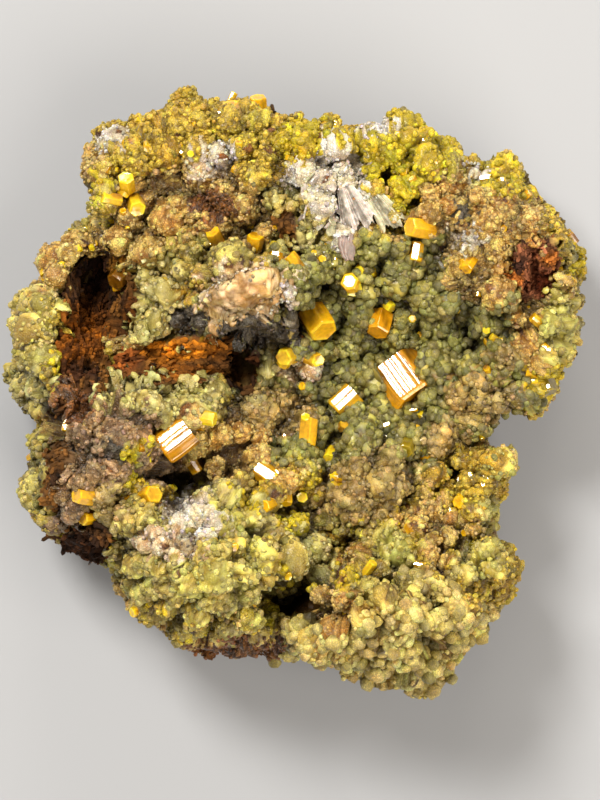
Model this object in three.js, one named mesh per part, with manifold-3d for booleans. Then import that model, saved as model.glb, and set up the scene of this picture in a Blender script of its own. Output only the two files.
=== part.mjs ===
// Pyromorphite on gossan: a brown, pitted limonite rock whose face is covered by a crust of
// rounded yellow-green mounds, with honey-yellow six-sided crystals standing on it and a fan of
// white blades near its upper edge.
//
// Millimetres. The specimen lies on its back on a flat cut: X runs right and Y up across the
// face that carries the crystals, and Z comes out of that face.
import * as THREE from 'three';
import { mergeVertices } from 'three/addons/utils/BufferGeometryUtils.js';
import { SimplexNoise } from 'three/addons/math/SimplexNoise.js';
import ManifoldModule from 'manifold-3d';

// Driving dimensions
const GAP = 0.3; // clearance between pieces that touch
const CRUST = 2.4; // thickness of the green crust
const BARE_RISE = 8; // clears the surface where the rock is bare
const FACE_LEVEL = 19; // height of the crystal face above the cut back
const CRUST_FOOT = 7.6; // height where the crust ends on the sides
const NECK_SHARE = 0.9; // width of the rock under the crust, as a share of the outline
const BLOCK = 68; // a block wider and deeper than the rock
const FACETS = 41; // facets across the block's top where it is shaped as the face
const HIDDEN_FACETS = 15; // the same for the hidden face under the crust
const SIDE_FACETS = 76; // facets round the sides
const EDGE_BLUR = 0.02; // angle, in radians, over which the outline is evened out
const MOUND_COUNT = 170;
const MOUND_SPREAD = 33; // radius of the disc that the mounds are spread over
const MOUND_RADIUS = [2.6, 4];
const MOUND_DEPTH = 0.4; // how deep a mound's middle lies, as a share of its radius
const CRYSTAL_STAND = 0.42; // how far a crystal's middle stands out, as a share of its half size
const CRYSTAL_BEVEL = 0.8; // radius of a crystal's end, as a share of its radius
const BEVEL_START = 0.72; // where the bevel begins, as a share of a crystal's half length
const BETWEEN_MOUNDS = 0.8; // how far the face lies lower between the mounds
const MOUND_ROUGHNESS = 0.3; // share of the face's bumps that the mounds show

// Bumps of the surfaces: their size and how far they stand out
const FACE_BUMPS = [[5, 0.9], [2, 0.6]];
const SIDE_BUMPS = [[6, 1.1], [2.4, 0.6]];
const FOOT_BUMPS = [[14, 2.5]];
const LUMP_BUMPS = [[0.6, 0.2]];

// The sides from the flat cut upwards: height, and width as a share of the outline
const SIDES = [
  [0, 0.8], [2.6, 0.89], [6.5, 0.97], [11, 1], [16, 0.98], [20, 0.93], [26, 0.88], [34, 0.7],
];

// Edge of the specimen seen from the front, corner by corner, anticlockwise from the right
const OUTLINE = [
  [30, 6], [30.6, 11], [30, 17], [28.6, 19.6], [26.2, 21.5], [25, 24.4], [22, 24.4], [17.4, 24.2],
  [15.8, 26], [14.6, 28], [10.4, 29.7], [6.4, 28], [3.8, 29.2], [-0.5, 28.4], [-2.6, 31], [-8, 30.4],
  [-10, 31.9], [-13, 31.5], [-15.6, 29.4], [-20.8, 26.8], [-22.5, 24], [-21.6, 22], [-19.4, 19.6],
  [-20, 17.8], [-23, 17.4], [-26, 15.8], [-27.8, 12], [-30, 7.2], [-29, 2.6], [-30.6, 1.2],
  [-29, -0.4], [-25.8, -2.2], [-27, -4.4], [-28.9, -9.2], [-24.8, -15], [-21, -18], [-18.5, -18.4],
  [-16.6, -22.8], [-12.6, -25.6], [-10.8, -27.6], [-1, -27.6], [0.5, -26.4], [5.7, -28.9],
  [9, -29.4], [12, -31.6], [17, -31.2], [16.8, -28.2], [19.6, -25], [21.2, -22.2], [24.8, -20.2],
  [24.4, -18.8], [20.9, -15.4], [21.4, -11], [22.4, -8.6], [22.2, -6], [19.4, -4.4], [21.6, -2.8],
  [22.6, -0.8], [28.4, -0.4], [28.2, 2.6],
];

// Rises and hollows of the face: centre x and y, reach along x and y, height
const SWELLS = [
  [-20.4, -6.6, 7, 8, 9],
  [-13, -0.4, 5, 3, 3],
  [-9.4, -18.2, 10, 8, 7],
  [9.8, -25, 10, 7, 7],
  [5, 22, 9, 6, 3],
  [24, 15, 6.5, 8, 4],
  [21.5, -18, 5, 5, 3],
  [-28, 4, 3, 8, 2],
  [8, -9.2, 3.6, 3, 4],
  [9.5, 2.4, 8, 9, -4.5],
  [-20.8, 10.4, 4.8, 6.4, -8.5],
  [-6.4, 3, 6, 2.6, -6],
  [-11.4, -8.6, 3, 2.6, -6],
  [-0.4, -20.8, 3.2, 3, -10],
  [9.8, 22.6, 2.2, 2, -4],
  [16.8, -8.9, 2.4, 2.6, -4],
  [17.2, 6.6, 3, 2.2, -3],
  [4, -14.6, 6, 2.6, -3],
];

// Blunt knobs with steep walls: centre x and y, reach along x and y, height
const KNOBS = [
  [-4.2, 10.2, 5, 3.7, 8.5], // nose
  [-9.6, -18.4, 8.4, 6.4, 7], // lower ledge
  [9.6, -25.6, 8, 5.4, 6], // foot
];

// Places where the crust is missing and the brown rock shows: centre x and y, half sizes
const BARE_PLACES = [
  [-21, 10.4, 5.4, 6.6],
  [-11.4, 3.4, 9, 2.8],
  [24.6, 12.8, 3.1, 3.4],
];

// Honey-yellow crystals: name, place on the face, radius, length, and the way the axis points:
// its turn from X in the face, its lift out of the face and the roll about itself, in degrees
const CRYSTALS = [
  ['crystal_striated_middle', 12, 1.8, 2.45, 4.6, -53, 6, 28],
  ['crystal_striated_left', -12, -4.5, 1.75, 3.6, 215, 30, 20],
  ['crystal_mirror_face', 5.6, -0.6, 1.5, 2.8, 220, 8, 30],
  ['crystal_blocky_orange', 1.7, -4, 1.2, 2.9, 265, 22, 30],
  ['crystal_big_orange', 2.8, 7.7, 1.75, 3.2, -58, 38, 10],
  ['crystal_golden_table', 9.2, 7.5, 1.4, 2.4, 255, 32, 12],
  ['crystal_yellow_by_nose_left', -0.4, 4.1, 1.05, 2.2, 200, 62, 0],
  ['crystal_yellow_by_nose_right', 2.4, 3.9, 0.85, 2, 330, 58, 15],
  ['crystal_upper_row_left', -1.6, 13.6, 0.95, 2.2, 250, 48, 8],
  ['crystal_upper_row_middle', 2.6, 13.6, 0.9, 2.2, 185, 35, 30],
  ['crystal_upper_row_bright', 6.2, 11.6, 1.1, 2.4, 240, 52, 18],
  ['crystal_under_white_fan', 13.3, 17.2, 1.25, 2.8, 172, 34, 30],
  ['crystal_right_of_fan', 13, 14.9, 0.75, 2, 262, 50, 0],
  ['crystal_right_slope', 18.4, 13.5, 0.7, 2, 235, 48, 0],
  ['crystal_upper_left_high', -17.1, 22, 0.95, 2.2, 95, 58, 10],
  ['crystal_upper_left_low', -16.2, 19.8, 1, 2.2, 290, 60, 0],
  ['crystal_upper_left_rim', -18.8, 20.4, 0.8, 2.2, 170, 30, 30],
  ['crystal_nose_top', -7.8, 16.3, 0.9, 2.2, 120, 42, 0],
  ['crystal_nose_top_table', -3.8, 15.8, 0.95, 1.8, 80, 30, 30],
  ['crystal_crest', -3.5, 30, 1.1, 3.4, 92, 24, 12],
  ['crystal_crest_table', -6.2, 29.4, 1.15, 2.4, 110, 28, 30],
  ['crystal_cavity_wall', -17.8, 12.6, 1.15, 2.8, 230, 40, 10],
  ['crystal_top_right', 13.7, 27, 0.95, 2.4, 60, 50, 0],
  ['crystal_olive_table', 26.4, 1.4, 1.2, 2.6, -70, 30, 30],
  ['crystal_ridge_pair_upper', -21, -10.3, 0.95, 2.2, 170, 42, 30],
  ['crystal_ridge_pair_lower', -20.6, -12.4, 0.85, 2.2, 190, 46, 20],
  ['crystal_ridge_round', -14.6, -10.3, 1.1, 2.4, 20, 56, 0],
  ['crystal_ledge_edge', -2.5, -8.2, 1.15, 2.4, 330, 46, 10],
  ['crystal_centre_small', 4.8, -8.9, 0.8, 2, 80, 54, 45],
  ['crystal_olive_centre', 12, -5.2, 0.9, 2.2, 250, 54, 0],
  ['crystal_right_knob', 17.8, -11.4, 0.85, 2, 140, 50, 0],
];

// White blades: where the fan spreads from, its height above the face, the turn of its first and
// last blade, the size of a blade, which share of the way round the longest one stands, and how
// much shorter the others get
const FAN = {
  root: [4, 23.4],
  lift: 0.6,
  from: -6,
  to: -88,
  blades: 7,
  start: 1,
  length: 8,
  width: 2.6,
  thick: 0.8,
  lean: 24,
  dip: 8,
  longestAt: 0.55,
  shortening: 0.3,
};
const FAN_LUMPS = [
  { at: [4.4, 24.2, 0.2], half: [1.7, 2.2, 1.6] },
  { at: [5.8, 17, -0.3], half: [1.1, 2.7, 1.5] },
];

const FINISHES = {
  rock: { color: 0x5b4229, roughness: 0.9 },
  crust: { color: 0x9a9c49, roughness: 0.5 },
  crystal: { color: 0xd39a1c, roughness: 0.15 },
  blade: { color: 0xd6d1cf, roughness: 0.35 },
};

const wasm = await ManifoldModule();
wasm.setup();

// A repeatable stream of numbers between 0 and 1
function seededRandom(seed) {
  let state = seed;
  return () => {
    state = (state * 1664525 + 1013904223) % 4294967296;
    return state / 4294967296;
  };
}

const noise = new SimplexNoise({ random: seededRandom(11) });

function toSolid(geometry) {
  const plain = geometry.clone();
  plain.deleteAttribute('normal');
  plain.deleteAttribute('uv');
  const merged = mergeVertices(plain, 1e-4);
  return new wasm.Manifold(new wasm.Mesh({
    numProp: 3,
    vertProperties: new Float32Array(merged.attributes.position.array),
    triVerts: new Uint32Array(merged.index.array),
  }));
}

function fromSolid(solid) {
  const mesh = solid.getMesh();
  const geometry = new THREE.BufferGeometry();
  const corners = new Float32Array(mesh.vertProperties);
  const faces = new Uint32Array(mesh.triVerts);
  geometry.setAttribute('position', new THREE.BufferAttribute(corners, 3));
  geometry.setIndex(new THREE.BufferAttribute(faces, 1));
  geometry.computeVertexNormals();
  return geometry;
}

// Welds a geometry so that neighbouring facets share their corners and one normal
function weld(geometry) {
  geometry.deleteAttribute('normal');
  geometry.deleteAttribute('uv');
  const merged = mergeVertices(geometry, 1e-4);
  merged.computeVertexNormals();
  return merged;
}

// Distance from the middle to the drawn outline in the direction of an angle
function outlineRadius(angle) {
  const dir = new THREE.Vector2(Math.cos(angle), Math.sin(angle));
  let reach = 0;
  OUTLINE.forEach(([ax, ay], i) => {
    const [bx, by] = OUTLINE[(i + 1) % OUTLINE.length];
    const side = new THREE.Vector2(bx - ax, by - ay);
    const cross = dir.x * side.y - dir.y * side.x;
    const along = (ax * side.y - ay * side.x) / cross;
    const share = (ax * dir.y - ay * dir.x) / cross;
    if (share >= 0 && share <= 1 && along > reach) reach = along;
  });
  return reach;
}

// The same, evened out over a few degrees to each side
function edgeRadius(angle) {
  const around = [-1.5, -0.5, 0.5, 1.5].map((step) => outlineRadius(angle + step * EDGE_BLUR));
  return around.reduce((sum, radius) => sum + radius) / around.length;
}

// How far a place lies from the middle of an oval, with 1 on the oval's edge
function awayFrom([cx, cy, rx, ry], x, y) {
  return Math.hypot((x - cx) / rx, (y - cy) / ry);
}

// Height of the crystal face above the cut, before its mounds
function faceHeight(x, y) {
  const swells = SWELLS.map((row) => row[4] * Math.exp(-(awayFrom(row, x, y) ** 2)));
  const knobs = KNOBS.map((row) => row[4] * Math.exp(-(awayFrom(row, x, y) ** 4)));
  return [...swells, ...knobs].reduce((height, rise) => height + rise, FACE_LEVEL);
}

// How far bumps of one or more sizes stand out at a place
function bumps(rows, x, y, z) {
  const each = rows.map(([size, height]) => height * noise.noise3d(x / size, y / size, z / size));
  return each.reduce((sum, out) => sum + out, 0);
}

function isBare(x, y) {
  return BARE_PLACES.some((row) => awayFrom(row, x, y) < 1);
}

// Rounded mounds, spread evenly by the golden angle, for the places that have crust
function moundCentres() {
  const random = seededRandom(5);
  const goldenAngle = Math.PI * (3 - Math.sqrt(5));
  const all = Array.from({ length: MOUND_COUNT }, (_, i) => {
    const reach = MOUND_SPREAD * Math.sqrt((i + 0.5) / MOUND_COUNT);
    const x = reach * Math.cos(i * goldenAngle);
    const y = reach * Math.sin(i * goldenAngle);
    const radius = THREE.MathUtils.lerp(...MOUND_RADIUS, random());
    return { x, y, z: faceHeight(x, y) - MOUND_DEPTH * radius, radius };
  });
  return all.filter(({ x, y }) => !isBare(x, y));
}

const mounds = moundCentres();

// Height of the outside: the tops of the mounds, or rough rock between them and in bare places
function outsideHeight(x, y) {
  const rough = bumps(FACE_BUMPS, x, y, 0);
  const tops = mounds.map((mound) => {
    const rest = mound.radius ** 2 - (x - mound.x) ** 2 - (y - mound.y) ** 2;
    return rest > 0 ? mound.z + Math.sqrt(rest) + MOUND_ROUGHNESS * rough : 0;
  });
  return Math.max(faceHeight(x, y) - BETWEEN_MOUNDS + rough, ...tops);
}

// Height up to which everything is brown rock: under the crust on the face, at the crust's foot
// round the sides, and above the surface in the bare places
function rockHeight(x, y) {
  const edge = NECK_SHARE * edgeRadius(Math.atan2(y, x)) - CRUST;
  if (Math.hypot(x, y) > edge) return CRUST_FOOT + bumps(FOOT_BUMPS, x, y, 0);
  return faceHeight(x, y) + (isBare(x, y) ? BARE_RISE : -CRUST);
}

// A block that reaches from below the flat cut up to a height asked for at each place
function blockUpTo(height, facets) {
  const geometry = weld(new THREE.BoxGeometry(BLOCK, BLOCK, BLOCK, facets, facets, 1));
  const position = geometry.attributes.position;
  for (let i = 0; i < position.count; i += 1) {
    if (position.getZ(i) > 0) position.setZ(i, height(position.getX(i), position.getY(i)));
  }
  return toSolid(geometry);
}

// The rock's rough sides, bulging out above the flat cut and drawing in again towards the face
function sideBody() {
  const steps = SIDES.length - 1;
  const geometry = weld(new THREE.CylinderGeometry(1, 1, 1, SIDE_FACETS, steps));
  geometry.rotateX(Math.PI / 2);
  const position = geometry.attributes.position;
  for (let i = 0; i < position.count; i += 1) {
    const corner = new THREE.Vector3().fromBufferAttribute(position, i);
    const angle = Math.atan2(corner.y, corner.x);
    const [z, share] = SIDES[Math.round((corner.z + 0.5) * steps)];
    const wide = share * edgeRadius(angle);
    const radius = wide + bumps(SIDE_BUMPS, wide * Math.cos(angle), wide * Math.sin(angle), z);
    const reach = Math.min(Math.hypot(corner.x, corner.y), 1) * radius;
    position.setXYZ(i, reach * Math.cos(angle), reach * Math.sin(angle), z);
  }
  return toSolid(geometry);
}

// Leaves out the crumbs and bubbles that cutting makes, and keeps the piece that holds together
function mainPiece(solid) {
  return solid.decompose().reduce((best, piece) => (piece.volume() > best.volume() ? piece : best));
}

// A six-sided crystal with a bevelled end, its axis along Y and its middle at the origin
function crystalForm(radius, length) {
  const half = length / 2;
  const profile = [
    [0, -half], [radius, -half], [radius, BEVEL_START * half], [CRYSTAL_BEVEL * radius, half], [0, half],
  ];
  return weld(new THREE.LatheGeometry(profile.map(([r, y]) => new THREE.Vector2(r, y)), 6));
}

// The room that a crystal needs in the rock and crust
function socketForm(radius, length) {
  const wide = radius + GAP / Math.cos(Math.PI / 6);
  return weld(new THREE.CylinderGeometry(wide, wide, length + 2 * GAP, 6));
}

// Turns and places a crystal on the ground below it
function placeCrystal(geometry, [, x, y, radius, length, turn, lift, roll], ground) {
  const rise = THREE.MathUtils.degToRad(lift);
  const heading = THREE.MathUtils.degToRad(turn);
  const level = new THREE.Vector3(Math.cos(heading), Math.sin(heading), 0);
  const axis = level.multiplyScalar(Math.cos(rise)).setZ(Math.sin(rise));
  const halfHeight = radius * Math.cos(rise) + (length / 2) * Math.sin(rise);
  const turned = new THREE.Quaternion().setFromUnitVectors(new THREE.Vector3(0, 1, 0), axis);
  geometry.rotateY(THREE.MathUtils.degToRad(roll));
  geometry.applyQuaternion(turned);
  return geometry.translate(x, y, groundHeight(ground, x, y) + CRYSTAL_STAND * halfHeight);
}

// Height of the ground mesh at a place on the face
function groundHeight(ground, x, y) {
  const ray = new THREE.Raycaster(new THREE.Vector3(x, y, BLOCK), new THREE.Vector3(0, 0, -1));
  return ray.intersectObject(ground)[0].point.z;
}

// A rough rounded lump
function lump(at, half) {
  const geometry = weld(new THREE.IcosahedronGeometry(1, 1));
  const position = geometry.attributes.position;
  for (let i = 0; i < position.count; i += 1) {
    const corner = new THREE.Vector3().fromBufferAttribute(position, i);
    corner.multiplyScalar(1 + bumps(LUMP_BUMPS, ...corner.toArray()));
    position.setXYZ(i, ...corner.multiply(new THREE.Vector3(...half)).toArray());
  }
  return toSolid(geometry.translate(...at));
}

// The white blades, side by side like the leaves of an open book, with the lumps they grow from
function whiteFan(ground, swell) {
  const [rootX, rootY] = FAN.root;
  const level = groundHeight(ground, rootX, rootY);
  const lumps = FAN_LUMPS.map(({ at, half }) => {
    const swollen = half.map((size) => size + swell);
    return lump([at[0], at[1], level + at[2]], swollen);
  });
  const blades = Array.from({ length: FAN.blades }, (_, i) => {
    const share = i / (FAN.blades - 1);
    const long = FAN.length * (1 - FAN.shortening * Math.abs(share - FAN.longestAt)) + 2 * swell;
    const geometry = new THREE.BoxGeometry(long, FAN.thick + 2 * swell, FAN.width + 2 * swell);
    geometry.rotateX(THREE.MathUtils.degToRad(FAN.lean));
    geometry.translate(FAN.start + FAN.length / 2, 0, 0);
    geometry.rotateY(THREE.MathUtils.degToRad(FAN.dip));
    geometry.rotateZ(THREE.MathUtils.degToRad(THREE.MathUtils.lerp(FAN.from, FAN.to, share)));
    return toSolid(geometry.translate(rootX, rootY, level + FAN.lift));
  });
  return [...lumps, ...blades].reduce((solid, piece) => solid.add(piece));
}

function named(name, geometry, finish) {
  const material = new THREE.MeshStandardMaterial({ ...FINISHES[finish], flatShading: true });
  const mesh = new THREE.Mesh(geometry, material);
  mesh.name = name;
  return mesh;
}

const whole = sideBody().intersect(blockUpTo(outsideHeight, FACETS));
const ground = new THREE.Mesh(fromSolid(whole));
const crystals = CRYSTALS.map((row) => placeCrystal(crystalForm(row[3], row[4]), row, ground));
const sockets = CRYSTALS.map((row) => toSolid(placeCrystal(socketForm(row[3], row[4]), row, ground)));
const holes = sockets.reduce((solid, socket) => solid.add(socket), whiteFan(ground, GAP));
const rock = blockUpTo(rockHeight, HIDDEN_FACETS);
const matrix = mainPiece(whole.intersect(rock).subtract(holes));
const crust = mainPiece(whole.subtract(rock.translate(0, 0, GAP)).subtract(holes));

const group = new THREE.Group();
group.add(named('matrix', fromSolid(matrix), 'rock'));
group.add(named('pyromorphite_crust', fromSolid(crust), 'crust'));
group.add(named('white_bladed_fan', fromSolid(whiteFan(ground, 0)), 'blade'));
crystals.forEach((geometry, i) => group.add(named(CRYSTALS[i][0], geometry, 'crystal')));

// The origin is the middle of the specimen's bounds, on the flat cut
const bounds = new THREE.Box3().setFromObject(group);
const middle = bounds.getCenter(new THREE.Vector3());
group.children.forEach((mesh) => mesh.geometry.translate(-middle.x, -middle.y, -bounds.min.z));

export default group;
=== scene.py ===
# Pyromorphite on gossan, lying on its back with the crystal face up: a brown limonite rock, a
# crust of rounded yellow-green grains, honey-yellow hexagonal crystals and a fan of white blades.
# Lengths are worked out in millimetres and go into the meshes in metres.
import math
from itertools import product

import bpy
import numpy as np
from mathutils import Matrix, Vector
from mathutils.bvhtree import BVHTree
from mathutils.kdtree import KDTree


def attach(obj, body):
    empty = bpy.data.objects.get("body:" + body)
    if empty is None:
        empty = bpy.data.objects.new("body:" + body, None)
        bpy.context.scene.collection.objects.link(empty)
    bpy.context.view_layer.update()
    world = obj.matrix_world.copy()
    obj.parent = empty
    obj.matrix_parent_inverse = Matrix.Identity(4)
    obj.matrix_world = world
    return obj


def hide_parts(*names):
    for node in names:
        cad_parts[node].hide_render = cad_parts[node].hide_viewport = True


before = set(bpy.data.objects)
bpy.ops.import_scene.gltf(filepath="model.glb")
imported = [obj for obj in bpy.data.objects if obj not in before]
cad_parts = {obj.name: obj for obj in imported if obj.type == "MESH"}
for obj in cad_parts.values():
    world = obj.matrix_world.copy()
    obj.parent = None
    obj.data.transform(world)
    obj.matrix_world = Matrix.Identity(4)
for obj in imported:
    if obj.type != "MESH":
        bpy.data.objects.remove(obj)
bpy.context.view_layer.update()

MM = 0.001
PIXEL = 0.105  # mm of the crystal face under one pixel of the 600 x 800 view
VIEW_X, VIEW_Y = 291.5, 395.5  # pixel over the middle of the outline
VIEW_WIDTH, VIEW_HEIGHT = 600, 800
SHIFT = np.array([-0.40, -0.32])  # mm from the middle of the outline to the frame's origin
FACE_LEVEL = 20.0  # mm, height of the crystal face
CAMERA_DISTANCE = 420.0  # mm above the crystal face
OUTLINE_DEPTH = 4.0  # mm from the crystal face down to the outline
KEY_PLACE = (-190, 250, 500)  # mm, where the key light hangs
BESIDE, ABOVE = 0.05, 0.1  # m, from where solids are felt for from the side and from above

# Small helpers


def on_face(px, py):
    """Place in mm on the crystal face under a pixel of the view."""
    return np.array([(px - VIEW_X) * PIXEL, (VIEW_Y - py) * PIXEL]) + SHIFT


def in_view(x, y):
    """The pixel of the view over a place in mm on the crystal face."""
    return (x - SHIFT[0]) / PIXEL + VIEW_X, VIEW_Y - (y - SHIFT[1]) / PIXEL


def linear(hex_colour):
    """Linear RGB of an sRGB hex colour, by the sRGB curve."""
    parts = np.array([int(hex_colour[i:i + 2], 16) for i in (0, 2, 4)]) / 255
    return np.where(parts <= 0.04045, parts / 12.92, ((parts + 0.055) / 1.055) ** 2.4)


def smoothstep(low, high, value):
    """Rises from 0 at low to 1 at high along 3t^2 - 2t^3."""
    t = np.clip((value - low) / (high - low), 0, 1)
    return t * t * (3 - 2 * t)


def unit(vectors):
    """Vectors divided by their lengths."""
    return vectors / np.maximum(np.linalg.norm(vectors, axis=-1, keepdims=True), 1e-9)


def hashed(cells):
    """A repeatable value from -1 to 1 for each whole-numbered cell, by mixing its bits."""
    mixed = (cells @ np.array([73856093, 19349663, 83492791])) & 0x7FFFFFFF
    mixed = ((mixed ^ (mixed >> 13)) * 1274126177) & 0x7FFFFFFF
    return ((mixed ^ (mixed >> 11)) & 0xFFFF) / 32767.5 - 1


def noise(points, size):
    """Smooth noise from -1 to 1: the values of a cubic lattice, size mm apart, blended by the
    smoothstep of the place inside each cell."""
    scaled = points / size + 100.37
    cells = np.floor(scaled).astype(np.int64)
    blend = scaled - cells
    blend = blend * blend * (3 - 2 * blend)
    total = np.zeros(len(points))
    for corner in product((0, 1), repeat=3):
        weight = np.prod(np.where(corner, blend, 1 - blend), axis=1)
        total += weight * hashed(cells + np.array(corner))
    return total


def seeds_near(points, size):
    """The seed nearest to each point, out of seeds that stand one to a cell of a lattice size mm
    wide, each off its cell's middle by chance, and the distances to it and to the next one."""
    scaled = points / size + 100.5
    cells = np.floor(scaled).astype(np.int64)
    first, second = np.full((2, len(points)), 9.0)
    nearest = np.zeros_like(points)
    for step in product((-1, 0, 1), repeat=3):
        home = cells + np.array(step)
        seed = home + 0.5 + 0.45 * np.column_stack([hashed(home + 31 * k) for k in (1, 2, 3)])
        away = np.linalg.norm(seed - scaled, axis=1)
        closer = away < first
        second = np.where(closer, first, np.minimum(second, away))
        nearest[closer] = seed[closer]
        first = np.minimum(first, away)
    return (nearest - 100.5) * size, first * size, second * size


def by_seed(seeds, number):
    """A repeatable value from -1 to 1 for each seed."""
    return hashed(np.floor(seeds * 97).astype(np.int64) + number)


def grid_quads(index):
    """The quads of a grid of point indices, each from its cell's first corner."""
    corners = [index[:-1, :-1], index[1:, :-1], index[1:, 1:], index[:-1, 1:]]
    return np.stack(corners, -1).reshape(-1, 4)


def tube_faces(rings, around):
    """Quads and end triangles of a tube whose points are a tip, its rings in turn and a tip."""
    ids = 1 + np.arange(rings)[:, None] * around + np.arange(around)
    after = np.roll(ids, -1, axis=1)
    quads = np.stack([ids[:-1], ids[1:], after[1:], after[:-1]], -1).reshape(-1, 4)
    first, last = np.zeros(around, int), np.full(around, rings * around + 1)
    ends = [np.stack([first, ids[0], after[0]], -1), np.stack([last, after[-1], ids[-1]], -1)]
    return quads, np.concatenate(ends)


def joined(shapes):
    """Points, faces and tints of many shapes as those of one. Each shape gives its points, quads,
    triangles and tints."""
    starts = np.cumsum([0] + [len(shape[0]) for shape in shapes])
    points, quads, tris, tints = zip(*shapes)
    faces = [np.concatenate([rows + start for rows, start in zip(kind, starts)])
             for kind in (quads, tris)]
    return np.concatenate(points), faces, np.concatenate(tints)


def make_piece(name, points, faces, tint, material, smooth=True):
    """A mesh from points in mm, a list of face arrays (n x 3 or n x 4) and a colour per point,
    with how sugary it is as a fourth value where wanted. Smooth says for each face array whether
    its faces are shaded as one."""
    mesh = bpy.data.meshes.new(name)
    corners = np.concatenate([f.ravel() for f in faces]).astype(np.int32)
    sizes = np.concatenate([np.full(len(f), f.shape[1]) for f in faces])
    starts = np.concatenate([[0], np.cumsum(sizes)[:-1]]).astype(np.int32)
    mesh.vertices.add(len(points))
    mesh.vertices.foreach_set("co", (points * MM).astype(np.float32).ravel())
    mesh.loops.add(len(corners))
    mesh.loops.foreach_set("vertex_index", corners)
    mesh.polygons.add(len(sizes))
    mesh.polygons.foreach_set("loop_start", starts)
    smooth = np.broadcast_to(smooth, len(faces))
    mesh.polygons.foreach_set("use_smooth", np.repeat(smooth, [len(f) for f in faces]))
    mesh.update(calc_edges=True)
    colour = mesh.color_attributes.new("tint", "FLOAT_COLOR", "POINT")
    rgba = np.ones((len(points), 4), np.float32)
    rgba[:, :tint.shape[1]] = tint
    colour.data.foreach_set("color", rgba.ravel())
    piece = bpy.data.objects.new(name, mesh)
    bpy.context.scene.collection.objects.link(piece)
    mesh.materials.append(material)
    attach(piece, "root")
    return piece


# What grows where

# Each finish of the crust: colour in the gaps and on the tops of its granules, the gap colour
# being partly the browner ground between them and partly painted shade, height in mm of its
# coarse and of its fine granules, share of the surface that single balls cover, their least and
# largest radius in mm, and the share of them that are six-sided barrels. Green is the glassy kind
# in the middle, knob the stubs at the lower right, stone the pale ridge, and bare the open rock.
FINISHES = {
    "green": ("463f10", "b4ae60", 0.50, 0.12, 1.0, 0.26, 0.62, 0.03),
    "moss": ("74601e", "d8c466", 0.44, 0.26, 0.3, 0.20, 0.46, 0.25),
    "lime": ("98860a", "eed428", 0.46, 0.22, 0.3, 0.22, 0.46, 0.10),
    "ledge": ("907e30", "e6d67c", 0.50, 0.20, 0.3, 0.20, 0.46, 0.10),
    "lemon": ("84660c", "f2d24c", 0.36, 0.32, 0.3, 0.16, 0.40, 0.45),
    "sage": ("90803c", "e2d68c", 0.46, 0.18, 0.2, 0.20, 0.42, 0.20),
    "tan": ("96681c", "fcda84", 0.26, 0.34, 0.25, 0.14, 0.34, 0.50),
    "corn": ("a66e1e", "ffe08c", 0.12, 0.36, 0.25, 0.14, 0.28, 0.50),
    "beige": ("705a26", "ccb06c", 0.50, 0.20, 0.3, 0.20, 0.42, 0.10),
    "cream": ("c6a070", "ffead0", 0.16, 0.26, 0.2, 0.14, 0.30, 0.40),
    "white": ("d2c0aa", "fff8ee", 0.16, 0.28, 0.2, 0.14, 0.30, 0.60),
    "stone": ("94703c", "e2c8a0", 0.10, 0.15, 0.1, 0.14, 0.3, 0.3),
    "pale": ("9c8a34", "e2d878", 0.44, 0.16, 0.3, 0.20, 0.46, 0.10),
    "fawn": ("644626", "ccaa80", 0.30, 0.28, 0.3, 0.16, 0.40, 0.30),
    "knob": ("80621a", "fae688", 0.30, 0.24, 0.6, 0.26, 0.80, 0.10),
    # Slate: a dark grey crust, partly painted shade, most of all under the pale ridge
    "slate_and_shade": ("241c14", "6e6458", 0.20, 0.26, 0.1, 0.14, 0.30, 0.50),
    "rust": ("40200a", "9c6630", 0.12, 0.34, 0.3, 0.14, 0.3, 0.60),
    "bare": ("3c2108", "7a5228", 0.0, 0.0, 0.0, 0.0, 0.0, 0.0),
}
FINISH_NAMES = list(FINISHES)
GAP_COLOURS_AND_SHADE = np.array([linear(row[0]) for row in FINISHES.values()])
TOPS = np.array([linear(row[1]) for row in FINISHES.values()])
COARSE, FINE, COVER, LEAST, LARGEST, BARRELS = np.array([row[2:] for row in FINISHES.values()]).T
BARE, RUST, STONE, TAN, LEMON, LIME, SAGE, MOSS, GREEN = (
    FINISH_NAMES.index(name)
    for name in ("bare", "rust", "stone", "tan", "lemon", "lime", "sage", "moss", "green"))
NEUTRAL = [FINISH_NAMES.index(name) for name in ("white", "slate_and_shade", "cream")]

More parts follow.
